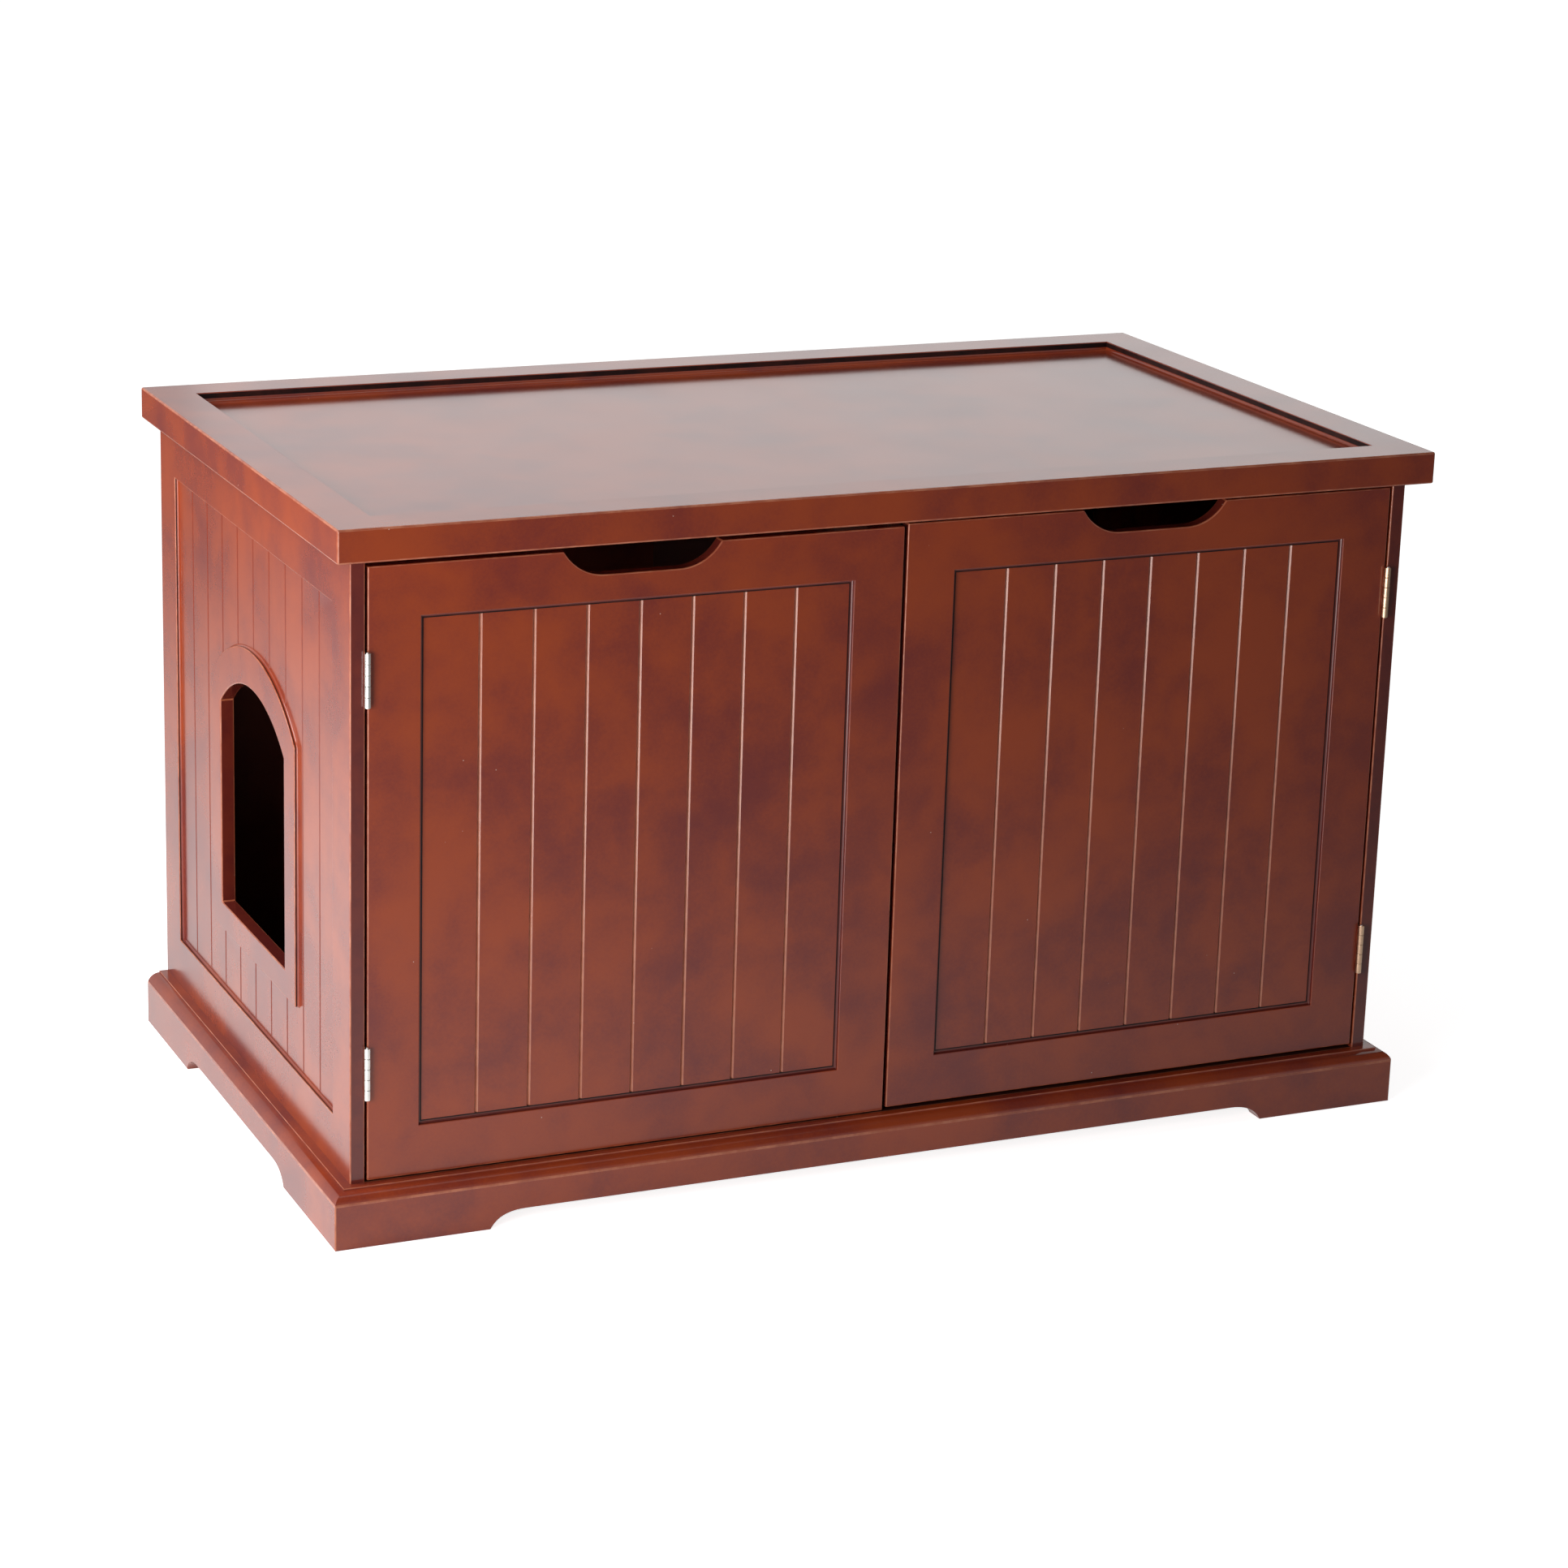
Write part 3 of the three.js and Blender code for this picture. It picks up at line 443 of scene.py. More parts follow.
def stained(name, offset, ground, toner, rough=0.18, peel=0.01, cloud_size=1.0,
            groove=(0.46, 0.17, 0.10), edge_shade=(0.1, 0.013, 0.011)):
    """Stained and lacquered board. The offset moves the clouds, so that no two boards match. The groove
    colour paints a highlight into the grooves unless a board passes a dark one, which is painted shade; the
    last colour is painted shade on the sawn edges and the door borders' recesses.
    """
    made, tree, surface = material(name)
    place = add(tree, "ShaderNodeTexCoord")
    moved = add(tree, "ShaderNodeMapping", {"Vector": place.outputs["Object"], "Location": offset})
    stain = add(tree, "ShaderNodeGroup", node_tree=STAIN)
    skin = add(tree, "ShaderNodeGroup", node_tree=SKIN)
    for node in (stain, skin):
        tree.links.new(moved.outputs["Vector"], node.inputs["Coordinates"])
    # the pale arris colour is partly real wear and partly a painted highlight; the groove colour is a
    # painted highlight and the edge colour painted shade
    for key, colour in (("Ground", ground), ("Toner", toner), ("Rubbed and highlight", (0.5, 0.16, 0.08)),
                        ("Groove shading", groove), ("Shaded edge", edge_shade)):
        stain.inputs[key].default_value = (*colour, 1)
    stain.inputs["Cloud size"].default_value = cloud_size
    skin.inputs["Roughness"].default_value = rough
    skin.inputs["Peel"].default_value = peel
    dusty = blend(tree, skin.outputs["Nibs"], stain.outputs["Color"], (0.75, 0.6, 0.5, 1))
    tree.links.new(dusty, surface.inputs["Base Color"])
    tree.links.new(skin.outputs["Roughness"], surface.inputs["Roughness"])
    tree.links.new(skin.outputs["Normal"], surface.inputs["Normal"])
    return made


def glaze(name):
    """Near-black stain pooled in the corners of the mouldings and dried dull; its darkness is also painted
    shade of those recesses.
    """
    made, tree, surface = material(name)
    place = add(tree, "ShaderNodeTexCoord").outputs["Object"]
    thick = ramp(tree, cloud(tree, place, 45.0, 4.0, 0.6), 0.3, 0.75)
    grain = cloud(tree, place, 900.0, 2.0)
    shade = blend(tree, thick, (0.012, 0.005, 0.005, 1), (0.045, 0.012, 0.009, 1))
    tree.links.new(shade, surface.inputs["Base Color"])
    tree.links.new(ramp(tree, grain, 0.2, 0.8, to=(0.35, 0.5)), surface.inputs["Roughness"])
    bump = add(tree, "ShaderNodeBump", {"Strength": 0.2, "Distance": 0.0002, "Height": grain})
    tree.links.new(bump.outputs["Normal"], surface.inputs["Normal"])
    surface.inputs["Specular IOR Level"].default_value = 0.15
    return made


# near-black colour for the walls, coves and feet of the mouldings: partly pooled glaze, partly painted shade
# in the recesses
glaze("dark_glaze_shade")
GROUND = (0.325, 0.05, 0.012)
TONER = (0.165, 0.022, 0.018)


def board(name, offset, shade=1.0, **more):
    return stained(name, offset, tuple(c * shade for c in GROUND), tuple(c * shade for c in TONER), **more)


def metal(name, colour, rough, scratch=0.12):
    """Plated metal with a fine brushed grain and dull patches."""
    made, tree, surface = material(name)
    place = add(tree, "ShaderNodeTexCoord")
    drawn = add(tree, "ShaderNodeMapping", {"Vector": place.outputs["Object"], "Scale": (1, 1, 0.05)})
    grain = cloud(tree, drawn.outputs["Vector"], 2600.0, 3.0)
    patches = cloud(tree, place.outputs["Object"], 180.0, 4.0)
    shade = blend(tree, patches, (*colour, 1), (*(c * 0.72 for c in colour), 1))
    rub = add(tree, "ShaderNodeMath", {0: grain, 1: scratch, 2: rough - scratch / 2},
              operation="MULTIPLY_ADD")
    bump = add(tree, "ShaderNodeBump", {"Strength": 0.15, "Distance": 0.0001, "Height": grain})
    tree.links.new(shade, surface.inputs["Base Color"])
    tree.links.new(rub.outputs[0], surface.inputs["Roughness"])
    tree.links.new(bump.outputs["Normal"], surface.inputs["Normal"])
    surface.inputs["Metallic"].default_value = 1
    return made


def softwood(name):
    """Planed pale softwood with drawn-out rings."""
    made, tree, surface = material(name)
    place = add(tree, "ShaderNodeTexCoord")
    drawn = add(tree, "ShaderNodeMapping", {"Vector": place.outputs["Object"], "Scale": (1, 0.09, 1)})
    wander = cloud(tree, drawn.outputs["Vector"], 30.0, 3.0)
    rings = add(tree, "ShaderNodeTexWave", {"Vector": drawn.outputs["Vector"], "Scale": 55.0,
                "Distortion": 5.0, "Detail": 2.0, "Detail Scale": 1.2},
                wave_type="RINGS", rings_direction="Y").outputs["Fac"]
    pores = cloud(tree, drawn.outputs["Vector"], 900.0)
    mixed = add(tree, "ShaderNodeMath", {0: rings, 1: wander}, operation="MULTIPLY").outputs[0]
    shade = blend(tree, mixed, (0.56, 0.36, 0.18, 1), (0.33, 0.17, 0.07, 1))
    rough = add(tree, "ShaderNodeMath", {0: pores, 1: 0.25, 2: 0.55}, operation="MULTIPLY_ADD")
    bump = add(tree, "ShaderNodeBump", {"Strength": 0.3, "Distance": 0.0003, "Height": pores})
    tree.links.new(shade, surface.inputs["Base Color"])
    tree.links.new(rough.outputs[0], surface.inputs["Roughness"])
    tree.links.new(bump.outputs["Normal"], surface.inputs["Normal"])
    return made


def moulded(name, colour, rough=0.5, grain_scale=900.0):
    """Moulded plastic or pressed ferrite: a fine even grain with slight blotches."""
    made, tree, surface = material(name)
    place = add(tree, "ShaderNodeTexCoord").outputs["Object"]
    grain = cloud(tree, place, grain_scale, 3.0)
    blotch = cloud(tree, place, 60.0, 3.0)
    shade = blend(tree, blotch, (*(c * 0.8 for c in colour), 1), (*(c * 1.25 for c in colour), 1))
    rub = add(tree, "ShaderNodeMath", {0: grain, 1: 0.2, 2: rough - 0.1}, operation="MULTIPLY_ADD")
    bump = add(tree, "ShaderNodeBump", {"Strength": 0.25, "Distance": 0.0002, "Height": grain})
    tree.links.new(shade, surface.inputs["Base Color"])
    tree.links.new(rub.outputs[0], surface.inputs["Roughness"])
    tree.links.new(bump.outputs["Normal"], surface.inputs["Normal"])
    return made


# ------------------------------------------------------------------ lid


def lid():
    bm = bmesh.new()
    edges = rectangle(bm, (-LID_HALF[0], -LID_HALF[1]), LID_HALF)
    fill(bm, edges, PLAIN)
    for face in bm.faces:
        if face.normal.z < 0:
            face.normal_flip()
    bmesh.ops.dissolve_limit(bm, angle_limit=0.01, verts=bm.verts[:], edges=bm.edges[:])
    top = bm.faces[:]
    skirt = bmesh.ops.extrude_edge_only(bm, edges=[e for e in bm.edges if e.is_boundary])["geom"]
    bmesh.ops.translate(bm, vec=(0, 0, LID_FOOT - LID_TOP), verts=only(skirt, bmesh.types.BMVert))
    outer_foot = [e for e in bm.edges if e.is_boundary]
    sink(bm, top, [(RIM - 0.8, 0, PLAIN)])
    # the rim's inner wall takes the near-black glaze, partly painted shade of the recess
    sink(bm, top, moulding(0.8, LID_TOP - LID_FLOOR - 0.8 - RIM_COVE, RIM_COVE, 6, cove_tag=PLAIN))
    inner = list(top[0].edges)
    bmesh.ops.delete(bm, geom=top, context="FACES_ONLY")
    wall = bmesh.ops.extrude_edge_only(bm, edges=inner)["geom"]
    bmesh.ops.translate(bm, vec=(0, 0, LID_FOOT - LID_FLOOR), verts=only(wall, bmesh.types.BMVert))
    inner_foot = [e for e in only(wall, bmesh.types.BMEdge) if e.is_boundary]
    bmesh.ops.bridge_loops(bm, edges=outer_foot + inner_foot)
    bmesh.ops.recalc_face_normals(bm, faces=bm.faces[:])
    x, y = LID_HALF
    outside = [e for e in arrises(bm)
               if all(abs(v.co.x) > x - 1e-3 or abs(v.co.y) > y - 1e-3 for v in e.verts)]
    ease(bm, outside, 1.6, 4)
    rails = [f"lid_{side}_rail" for side in ("front", "back", "left", "right")]
    make("lid_rim", bm, board("stain_lid_rim", (2.9, 3.3, 1.7)), "cabinet", rails, at=(0, 0, LID_TOP))

    bm = bmesh.new()
    inset = RIM + RIM_COVE
    edges = rectangle(bm, (inset - x, inset - y), (x - inset, y - inset))
    fill(bm, edges, PLAIN)
    thicken(bm, LID_FLOOR - LID_FOOT)
    make("lid_floor", bm, board("stain_lid_floor", (2.3, 4.1, 0.2), rough=0.15), "cabinet", ["lid_panel"],
         at=(0, 0, LID_FLOOR))


# ------------------------------------------------------------------ boards


def panel(name, size, field, facing, at, finish, body, stands_for, grooves, border,
          draw_outline=None, island=None, entry=None):
    """A grooved board: plain frame, sunk field with V-grooves, and perhaps an arched entry."""
    bm = bmesh.new()
    outer = draw_outline(bm) if draw_outline else rectangle(bm, *size)
    inner = rectangle(bm, *field)
    fill(bm, outer + inner, PLAIN)
    if island:
        plate = arch(bm, **island)
        hole = arch(bm, **entry)
        fill(bm, inner + plate, FIELD)
        fill(bm, plate + hole, PLAIN)
    else:
        fill(bm, inner, FIELD)
    thicken(bm, BOARD)
    ease(bm, arrises(bm), BOARD_ARRIS)
    sink(bm, [f for f in bm.faces if f.material_index == FIELD], border)
    groove(bm, grooves)
    return make(name, bm, finish, body, stands_for, facing, at)


def sides():
    y0, y1 = BODY_FRONT, BODY_BACK
    stile, foot, top = 43, 88.5, 504.5
    middle = (y0 + y1) / 2
    # the side borders' arrises take the pale arris colour, partly a painted highlight along the border
    border = moulding(0.8, 0.9, 1.8, cove_tag=PLAIN, arris_tag=ARRIS)
    # the side grooves take a dark colour, painted shade in the grooves
    fine = dict(groove=(0.2, 0.035, 0.02))
    island = dict(ISLAND, middle=-ISLAND["middle"])
    entry = dict(ENTRY, middle=-ENTRY["middle"])
    panel("left_side_board", ((-y1, SIDE_FOOT), (-y0, LID_FOOT)), ((stile - y1, foot), (-y0 - stile, top)),
          FACING_LEFT, (-SIDE_OUTER, 0, 0), board("stain_left_side", (5.1, 0.4, 1.9), **fine), "cabinet",
          ["left_side_panel"], spread(9, GROOVE_PITCH, -middle), border, island=island, entry=entry)
    panel("right_side_board", ((y0, SIDE_FOOT), (y1, LID_FOOT)), ((y0 + stile, foot), (y1 - stile, top)),
          FACING_RIGHT, (SIDE_OUTER, 0, 0), board("stain_right_side", (7.7, 3.2, 0.9), **fine), "cabinet",
          ["right_side_panel"], spread(9, GROOVE_PITCH, middle), border)


def door_outline(low, high):
    """The pen's path round a door, with the finger scoop in the middle of its top edge."""
    radius, angle, flat = 40, math.pi / 3, 30.5
    middle = (low[0] + high[0]) / 2
    run = radius * math.sin(angle)
    rise = radius * (1 - math.cos(angle))
    centre = high[1] - rise + radius
    return lambda bm: draw(bm, low, [
        (high[0], low[1]),
        high,
        (middle + flat + run, high[1]),
        ((middle + flat, centre), -angle, 16),
        (middle - flat, high[1] - rise),
        ((middle - flat, centre), -angle, 16),
        (low[0], high[1]),
        low,
    ])


def doors():
    for side, offset in (("left", (1.1, 6.3, 3.4)), ("right", (3.9, 2.7, 5.6))):
        low, high = (Vector(c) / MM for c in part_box(f"{side}_door"))
        lo, hi = (low.x, low.z), (high.x, high.z)
        stile, rail = 41.5, 40
        # the door borders' wall and cove take the darker edge colour and the foot the near-black glaze:
        # painted shade in the recess
        border = moulding(0.8, 0.9, 1.8, wall_tag=CUT, cove_tag=CUT, foot=1.1)
        panel(f"{side}_door_board", (lo, hi), ((lo[0] + stile, lo[1] + rail), (hi[0] - stile, hi[1] - rail)),
              FACING_FRONT, (0, BODY_FRONT, 0), board(f"stain_{side}_door", offset), f"{side}_door",
              [f"{side}_door"], spread(7, GROOVE_PITCH, (lo[0] + hi[0]) / 2), border,
              draw_outline=door_outline(lo, hi))


# ------------------------------------------------------------------ plinth


def plinth_section(bm):
    """The moulding's section: across is inwards from the face, up is height."""
    bow = 12
    chord = Vector((OVOLO, PLINTH_TOP - 1.5 - PLINTH_FACE))
    sag = 2.2
    radius = (chord.length ** 2 / 4 + sag ** 2) / (2 * sag)
    middle = Vector((0, PLINTH_FACE)) + chord / 2
    inwards = Vector((chord.y, -chord.x)).normalized()
    centre = middle + inwards * (radius - sag)
    turn = -2 * math.asin(chord.length / 2 / radius)
    edges = draw(bm, (PLINTH_THICK, 0), [
        (1.2, 0),
        ((1.2, 1.2), -math.pi / 2, 4),
        (0, PLINTH_FACE),
        (tuple(centre), turn, bow),
        (OVOLO, PLINTH_TOP),
        (PLINTH_THICK, PLINTH_TOP),
        (PLINTH_THICK, 0),
    ])
    return fill(bm, edges, PLAIN)


def gap_height(along, low, high, curve=30):
    """How far the lower edge is raised between two feet."""
    depth = min(along - low, high - along)
    if depth <= 0:
        return 0
    if depth >= curve:
        return GAP_RISE
    t = bezier_time(depth, (0, 4, 11, curve))
    return bezier(t, (0, 7, GAP_RISE, GAP_RISE))


def bezier(t, points):
    a, b, c, d = points
    s = 1 - t
    return s ** 3 * a + 3 * s * s * t * b + 3 * s * t * t * c + t ** 3 * d


def bezier_time(value, points):
    low, high = 0.0, 1.0
    for _ in range(30):
        middle = (low + high) / 2
        if bezier(middle, points) < value:
            low = middle
        else:
            high = middle
    return (low + high) / 2


def plinth_length(length, gap, mitres):
    """One length of moulding: its face at across 0, its run along Z, gap cut and mitres sawn."""
    bm = bmesh.new()
    faces = plinth_section(bm)
    made = bmesh.ops.extrude_face_region(bm, geom=faces, use_keep_orig=True)["geom"]
    bmesh.ops.translate(bm, vec=(0, 0, length), verts=only(made, bmesh.types.BMVert))
    low, high = gap
    cuts = [0.02, 0.3, 0.8, 1.5, 2.5, 3.7, 5, 6.5, 8.5, 11, 14, 17.5, 21, 25, 30]
    for place in [low + c for c in cuts] + [high - c for c in cuts] + [low, high]:
        bmesh.ops.bisect_plane(bm, geom=bm.verts[:] + bm.edges[:] + bm.faces[:], dist=1e-4,
                               plane_co=(0, 0, place), plane_no=(0, 0, 1))
    for vert in bm.verts:
        if vert.co.y < 2:
            vert.co.y += gap_height(vert.co.z, low, high)
    for end, sawn in zip((0, length), mitres):
        if sawn:
            lean = -1 if end == 0 else 1
            bmesh.ops.bisect_plane(bm, geom=bm.verts[:] + bm.edges[:] + bm.faces[:], dist=1e-4,
                                   plane_co=(0, 0, end), plane_no=(1, 0, lean), clear_outer=True)
    return bm


def plinth():
    """The moulding round the front and both sides, mitred and glued, as one run."""
    whole = bmesh.new()
    depth = BODY_BACK - PLINTH_FRONT
    reach = PLINTH_HALF - 128
    runs = [
        (2 * PLINTH_HALF, (PLINTH_HALF - reach, PLINTH_HALF + reach), (True, True),
         Matrix(((0, 0, 1, -PLINTH_HALF), (1, 0, 0, PLINTH_FRONT), (0, 1, 0, 0), (0, 0, 0, 1)))),
        (depth, (-136 - PLINTH_FRONT, 144 - PLINTH_FRONT), (True, False),
         Matrix(((1, 0, 0, -PLINTH_HALF), (0, 0, 1, PLINTH_FRONT), (0, 1, 0, 0), (0, 0, 0, 1)))),
        (depth, (-136 - PLINTH_FRONT, 144 - PLINTH_FRONT), (True, False),
         Matrix(((-1, 0, 0, PLINTH_HALF), (0, 0, 1, PLINTH_FRONT), (0, 1, 0, 0), (0, 0, 0, 1)))),
    ]
    for length, gap, mitres, place in runs:
        part = plinth_length(length, gap, mitres)
        part.transform(place)
        mesh = bpy.data.meshes.new("run")
        part.to_mesh(mesh)
        part.free()
        whole.from_mesh(mesh)
        bpy.data.meshes.remove(mesh)
    bmesh.ops.remove_doubles(whole, verts=whole.verts[:], dist=1e-2)
    bmesh.ops.recalc_face_normals(whole, faces=whole.faces[:])
    corners = [e for e in arrises(whole, math.radians(80)) if all(
        abs(abs(v.co.x) - PLINTH_HALF) < 1e-2 and abs(v.co.y - PLINTH_FRONT) < 1e-2 for v in e.verts)]
    ease(whole, corners, 1.2, 3)
    for height, inset, radius in ((PLINTH_FACE, 0, 1.6), (PLINTH_TOP, OVOLO, 0.5)):
        crease = [e for e in whole.edges if not e.is_boundary and all(
            abs(v.co.z - height) < 1e-2 and (abs(abs(v.co.x) - PLINTH_HALF + inset) < 1.3
                                             or abs(v.co.y - PLINTH_FRONT - inset) < 1.3) for v in e.verts)]
        ease(whole, crease, radius, 3)
    make("plinth_moulding", whole, board("stain_plinth", (0.9, 8.2, 6.6)), "cabinet",
         ["plinth_front", "plinth_left", "plinth_right"])


# ------------------------------------------------------------------ ironmongery


def knuckles(middle):
    pitch = HINGE_LENGTH / 5
    foot = middle - HINGE_LENGTH / 2
    return [(foot + i * pitch + 0.12, foot + (i + 1) * pitch - 0.12) for i in range(5)]


def hinge_leaf(name, side, middle, first, plate_at, facing, shine, body):
    """A leaf let into its edge: a plate with countersunk holes, and its knuckles round the pin."""
    sign = -1 if side == "left" else 1
    bm = bmesh.new()
    spans = knuckles(middle)
    own = spans[first::2]
    front, neck, back = AXIS_Y, AXIS_Y + 3.1, BODY_FRONT + 10
    turn = -1 if facing is FACING_LEFT else 1
    low, high = spans[0][0], spans[-1][1]
    path = [(turn * back, low), (turn * back, high), (turn * neck, high)]
    for z0, z1 in reversed(own):
        path += [(turn * neck, z1), (turn * front, z1), (turn * front, z0), (turn * neck, z0)]
    path += [(turn * neck, low)]
    edges = draw(bm, path[0], path[1:] + path[:1])
    bmesh.ops.remove_doubles(bm, verts=bm.verts[:], dist=1e-3)
    for z in (middle - 13, middle + 13):
        centre = (turn * (BODY_FRONT + 5), z)
        draw(bm, (centre[0] + 1.2, z), [(centre, 2 * math.pi, 28)])
    fill(bm, bm.edges[:], PLAIN)
    thicken(bm, 0.85)
    sunk = [e for e in arrises(bm) if all(v.co.z > -1e-3 for v in e.verts)
            and any(math.dist((v.co.x, v.co.y), (turn * (BODY_FRONT + 5), z)) < 1.3
                    for v in e.verts for z in (middle - 13, middle + 13))]
    ease(bm, sunk, 0.8, 1)
    bmesh.ops.transform(bm, matrix=Matrix.Translation((plate_at, 0, 0)) @ facing, verts=bm.verts[:])
    for z0, z1 in own:
        bar(bm, 2.6, z0, z1, sign * AXIS_X, AXIS_Y)
    return make(f"{name}_plated", bm, shine, body, [name])


def screw(name, at, facing, shine, body):
    """A countersunk cross-head screw whose head faces the way given."""
    bm = bmesh.new()
    rim = draw(bm, (2.2, 0), [((0, 0), 2 * math.pi, 24)])
    long, half = 1.4, 0.28
    cross = draw(bm, (long, -half), [(long, half), (half, half), (half, long), (-half, long), (-half, half),
                 (-long, half), (-long, -half), (-half, -half), (-half, -long), (half, -long), (half, -half),
                 (long, -half)])
    fill(bm, rim + cross, PLAIN)
    slot_floor = fill(bm, cross, PLAIN)
    for face in bm.faces:
        if face.normal.z < 0:
            face.normal_flip()
    sink(bm, slot_floor, [(0.02, 0.45, PLAIN), (0.14, 0.2, PLAIN)])
    ring = [e for e in bm.edges if e.is_boundary]
    for radius, down in ((1.1, 0.85), (1.1, 8.15), (0.15, 1.4)):
        before = math.hypot(*ring[0].verts[0].co.xy)
        made = bmesh.ops.extrude_edge_only(bm, edges=ring)["geom"]
        verts = only(made, bmesh.types.BMVert)
        bmesh.ops.scale(bm, vec=(radius / before, radius / before, 1), verts=verts)
        bmesh.ops.translate(bm, vec=(0, 0, -down), verts=verts)
        ring = [e for e in only(made, bmesh.types.BMEdge) if e.is_boundary]
    bmesh.ops.contextual_create(bm, geom=ring)
    bmesh.ops.recalc_face_normals(bm, faces=bm.faces[:])
    return make(f"{name}_cut", bm, shine, body, [name], facing, at)


def hinges():
    bright = metal("bright_nickel", (0.8, 0.79, 0.75), 0.26)
    warm = metal("warm_nickel", (0.72, 0.48, 0.32), 0.28)
    zinc = metal("zinc_plate", (0.62, 0.61, 0.6), 0.36)
    for side, sign, shine in (("left", -1, bright), ("right", 1, warm)):
        outward = FACING_LEFT if side == "left" else FACING_RIGHT
        inward = FACING_RIGHT if side == "left" else FACING_LEFT
        for level, middle in HINGE_HEIGHTS.items():
            name = f"{side}_{level}_hinge"
            hinge_leaf(f"{name}_frame_leaf", side, middle, 0, sign * 445.65, inward, shine, "cabinet")
            hinge_leaf(f"{name}_door_leaf", side, middle, 1, sign * 445.35, outward, shine, f"{side}_door")
            bm = bmesh.new()
            bar(bm, 1.15, middle - 21.9, middle + 21.9, sign * AXIS_X, AXIS_Y, 24)
            make(f"{name}_pin_turned", bm, zinc, "cabinet", [f"{name}_pin"])
            for spot, z in (("top", middle + 13), ("bottom", middle - 13)):
                y = BODY_FRONT + 5
                screw(f"{name}_frame_screw_{spot}", (sign * 445.62, y, z), inward, zinc, "cabinet")
                screw(f"{name}_door_screw_{spot}", (sign * 445.38, y, z), outward, zinc, f"{side}_door")


def catches():
    zinc = bpy.data.materials["zinc_plate"]
    brown = moulded("brown_plastic", (0.085, 0.04, 0.025))
    ferrite = moulded("ferrite", (0.035, 0.035, 0.037), 0.45, 1500.0)
    facing_back = Matrix(((-1, 0, 0), (0, 0, 1), (0, 1, 0))).to_4x4()
    for side, sign in (("left", -1), ("right", 1)):
        soften(f"{side}_catch_housing", brown, "cabinet", 0.4)
        soften(f"{side}_catch_magnet", ferrite, "cabinet", 0.3)
        soften(f"{side}_strike_plate", zinc, f"{side}_door", 0.2)
        low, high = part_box(f"{side}_strike_screw")
        at = ((low.x + high.x) / 2 / MM, high.y / MM, (low.z + high.z) / 2 / MM)
        screw(f"{side}_strike_screw", at, facing_back, zinc, f"{side}_door")
    for node in ("divider_floor_channel", "divider_lid_channel"):
        soften(node, brown, "cabinet", 0.3)


def carcass():
    # the inside boards are stained at 0.16 of the colour, so the interior seen through the entry and the
    # scoop stays near black
    inside = board("stain_inside", (4.4, 1.2, 8.8), 0.16, rough=0.5)
    rough_board = board("stain_back", (6.6, 5.5, 2.2), 0.5, rough=0.45)
    pine = softwood("planed_pine")
    soften("floor_panel", inside, "cabinet", 0.6)
    soften("divider_panel", inside, "cabinet", 0.8)
    soften("back_panel", rough_board, "cabinet", 0.5)
    soften("front_base_rail", rough_board, "cabinet", 0.5)
    for node in ("lid_cleat_left", "lid_cleat_right", "glue_block_front_left", "glue_block_front_right",
                 "glue_block_back_left", "glue_block_back_right"):
        soften(node, pine, "cabinet", 0.6)


# ------------------------------------------------------------------ ground and light


def measure(tree, place, mark_at, how):
    """How far a place on the floor is from a point, or along a direction."""
    return add(tree, "ShaderNodeVectorMath", {0: place, 1: mark_at}, operation=how).outputs["Value"]


def ground():
    """A pale floor that keeps the shadow. For glossy rays it glows, brighter near the cabinet and in a band
    to its left: a painted reflection that puts highlights on the arrises and grooves.
    """
    bm = bmesh.new()
    bmesh.ops.create_grid(bm, x_segments=1, y_segments=1, size=30)
    mesh = bpy.data.meshes.new("ground")
    bm.to_mesh(mesh)
    bm.free()
    made = bpy.data.materials.new("pale_ground")
    made.use_nodes = True
    tree = made.node_tree
    tree.nodes.clear()
    place = add(tree, "ShaderNodeTexCoord").outputs["Object"]
    near = measure(tree, place, (-0.35, 0.35, 0), "DISTANCE")
    across = measure(tree, place, (0.41, -0.91, 0), "DOT_PRODUCT")
    along = measure(tree, place, (-1, 0, 0), "DOT_PRODUCT")
    path = add(tree, "ShaderNodeLightPath")
    paper = add(tree, "ShaderNodeBsdfDiffuse", {"Color": (0.86, 0.86, 0.86, 1)}).outputs[0]
    to_camera = ramp(tree, near, 1.0, 2.4, to=(0.84, 1.0))
    # glow seen only by glossy rays: a painted reflection near the cabinet and in a band to its left
    around = ramp(tree, near, 0.3, 2.0, to=(0.66, 0.05))
    gloss_glow_rise = ramp(tree, along, 0.45, 1.7, to=(0.0, 6.0))
    gloss_glow_band = add(tree, "ShaderNodeMath", {0: ramp(tree, across, -0.1, 0.03), 1: gloss_glow_rise},
                 operation="MULTIPLY").outputs[0]
    to_gloss = add(tree, "ShaderNodeMath", {0: around, 1: gloss_glow_band}, operation="ADD").outputs[0]
    glow = add(tree, "ShaderNodeMix", {0: path.outputs["Is Camera Ray"], 2: to_gloss, 3: to_camera})
    seen = add(tree, "ShaderNodeMath", {0: path.outputs["Is Camera Ray"], 1: path.outputs["Is Glossy Ray"]},
               operation="MAXIMUM").outputs[0]
    shown = add(tree, "ShaderNodeMath", {0: glow.outputs[0], 1: seen}, operation="MULTIPLY").outputs[0]
    white = add(tree, "ShaderNodeEmission", {"Strength": shown}).outputs[0]
    both = add(tree, "ShaderNodeAddShader", {0: paper, 1: white}).outputs[0]
    add(tree, "ShaderNodeOutputMaterial", {"Surface": both})
    mesh.materials.append(made)
    floor = bpy.data.objects.new("ground", mesh)
    bpy.context.scene.collection.objects.link(floor)


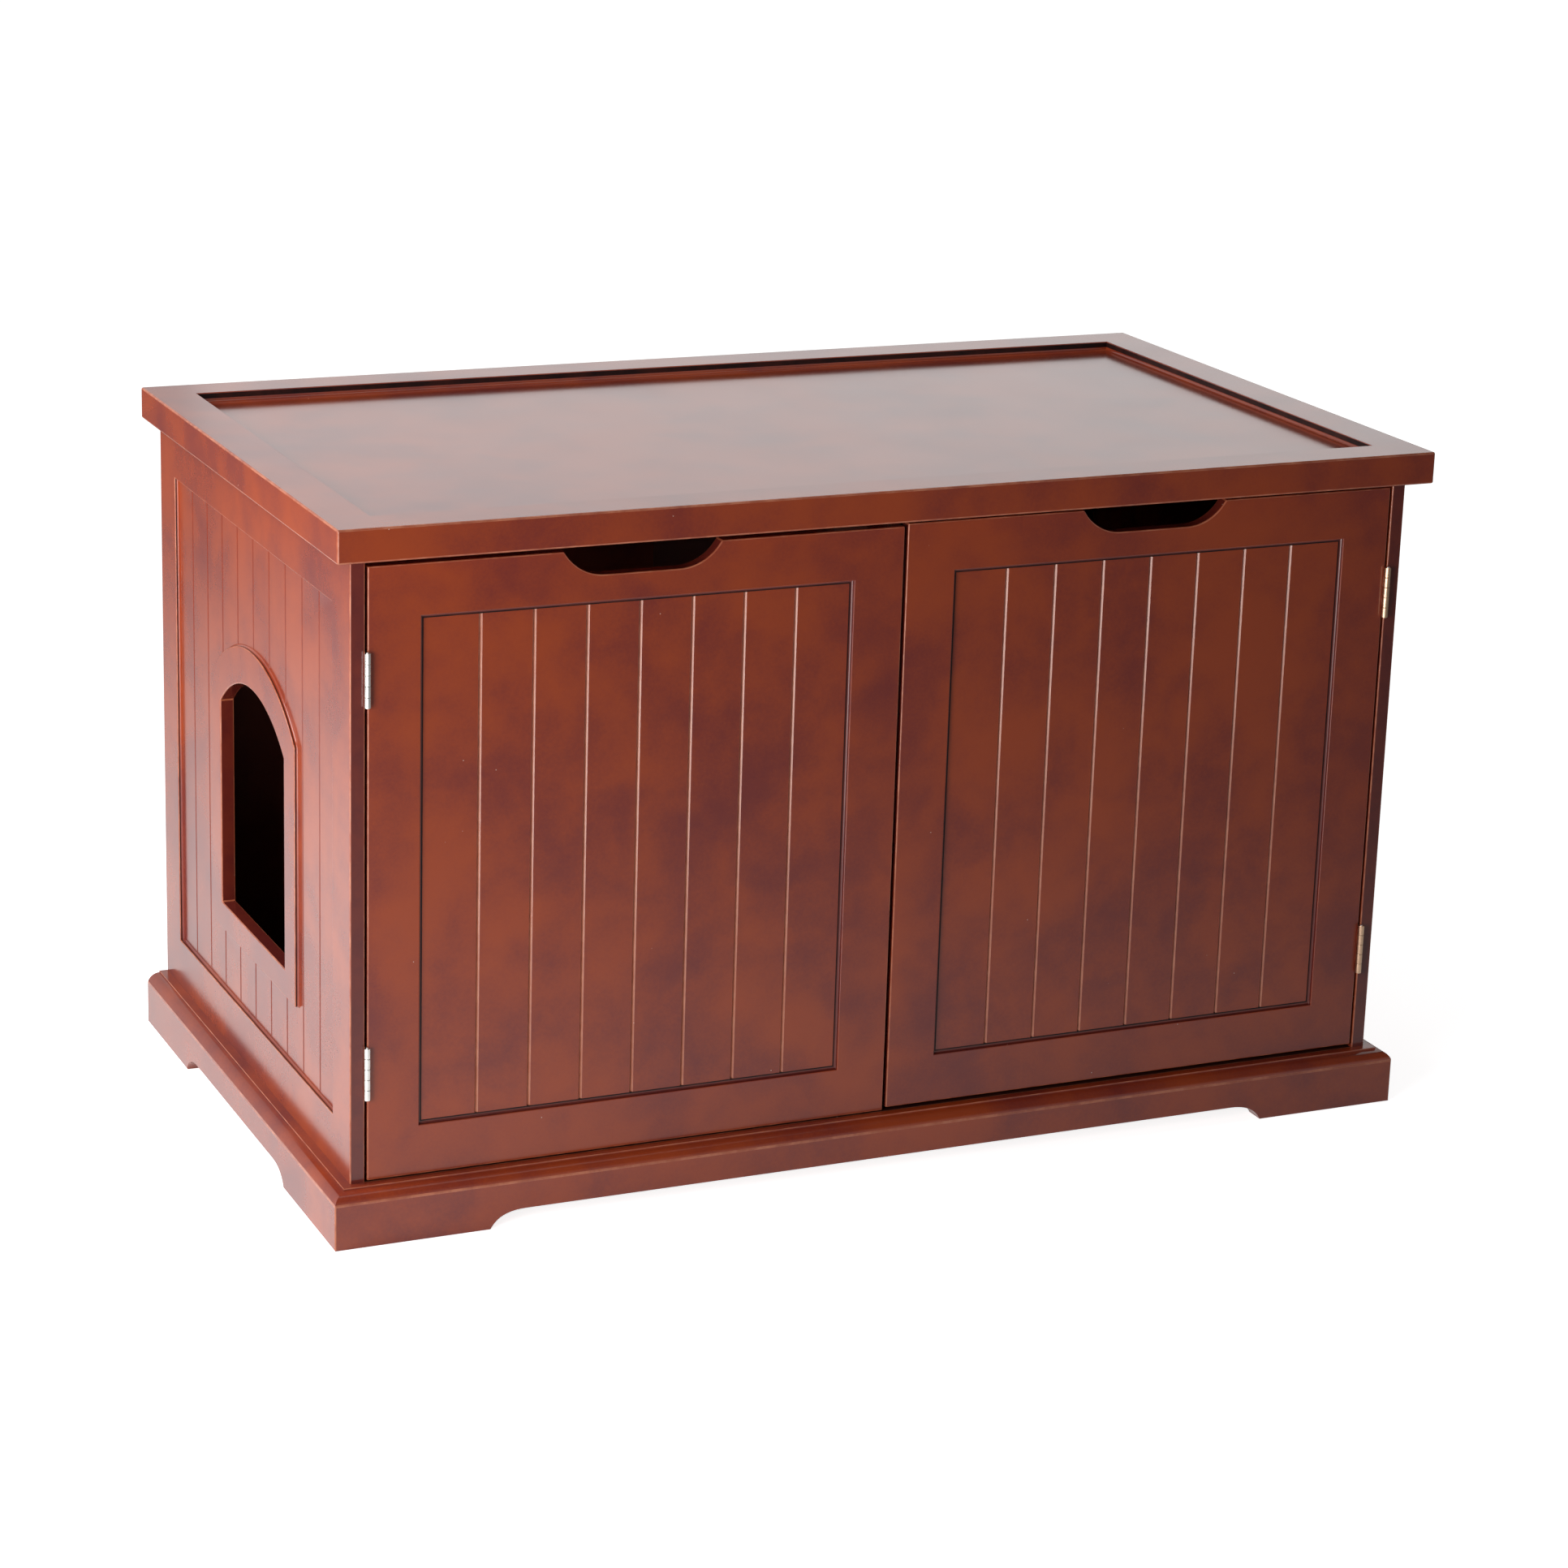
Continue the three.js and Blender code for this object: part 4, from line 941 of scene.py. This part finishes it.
def softbox(name, at, towards, size, power):
    lamp = bpy.data.lights.new(name, "AREA")
    lamp.shape = "RECTANGLE"
    lamp.size, lamp.size_y = size
    lamp.energy = power
    holder = bpy.data.objects.new(name, lamp)
    holder.location = at
    holder.rotation_euler = (Vector(towards) - Vector(at)).to_track_quat("-Z", "Y").to_euler()
    holder.visible_camera = False
    bpy.context.scene.collection.objects.link(holder)


def light():
    world = bpy.data.worlds.new("studio")
    bpy.context.scene.world = world
    world.use_nodes = True
    tree = world.node_tree
    tree.nodes.clear()
    path = add(tree, "ShaderNodeLightPath")
    outward = add(tree, "ShaderNodeTexCoord").outputs["Generated"]
    height = add(tree, "ShaderNodeSeparateXYZ", {"Vector": outward}).outputs["Z"]
    sweep = ramp(tree, height, 0.35, 0.65, to=(0.8, 0.06))
    plain = add(tree, "ShaderNodeMix", {0: path.outputs["Is Glossy Ray"], 2: 0.085, 3: sweep}).outputs[0]
    clear = add(tree, "ShaderNodeMath", {0: path.outputs["Is Camera Ray"],
                1: path.outputs["Is Transmission Ray"]}, operation="MAXIMUM").outputs[0]
    strength = add(tree, "ShaderNodeMix", {0: clear, 2: plain, 3: 1.0}).outputs[0]
    sky = add(tree, "ShaderNodeBackground", {"Color": (1, 1, 1, 1), "Strength": strength})
    add(tree, "ShaderNodeOutputWorld", {"Surface": sky.outputs[0]})
    softbox("softbox_left", (-1.45, 0.1, 1.15), (-0.46, 0, 0.4), (0.8, 0.8), 18)
    softbox("softbox_front", (-1.65, -1.35, 0.7), (-0.3, -0.25, 0.35), (0.8, 0.8), 23)
    softbox("floor_bounce", (-1.5, -0.85, 0.01), (-1.5, -0.85, 1), (1.1, 0.9), 5)
    softbox("softbox_top", (0.35, 0.1, 2.3), (0.1, 0, 0.57), (1.2, 1.2), 6.5)
    softbox("backdrop_light", (1.3, 2.7, 1.15), (0.3, 0, 0.57), (2.0, 1.3), 3.4)


bpy.context.scene.view_settings.view_transform = "Standard"
lid()
sides()
doors()
plinth()
hinges()
catches()
carcass()
ground()
light()
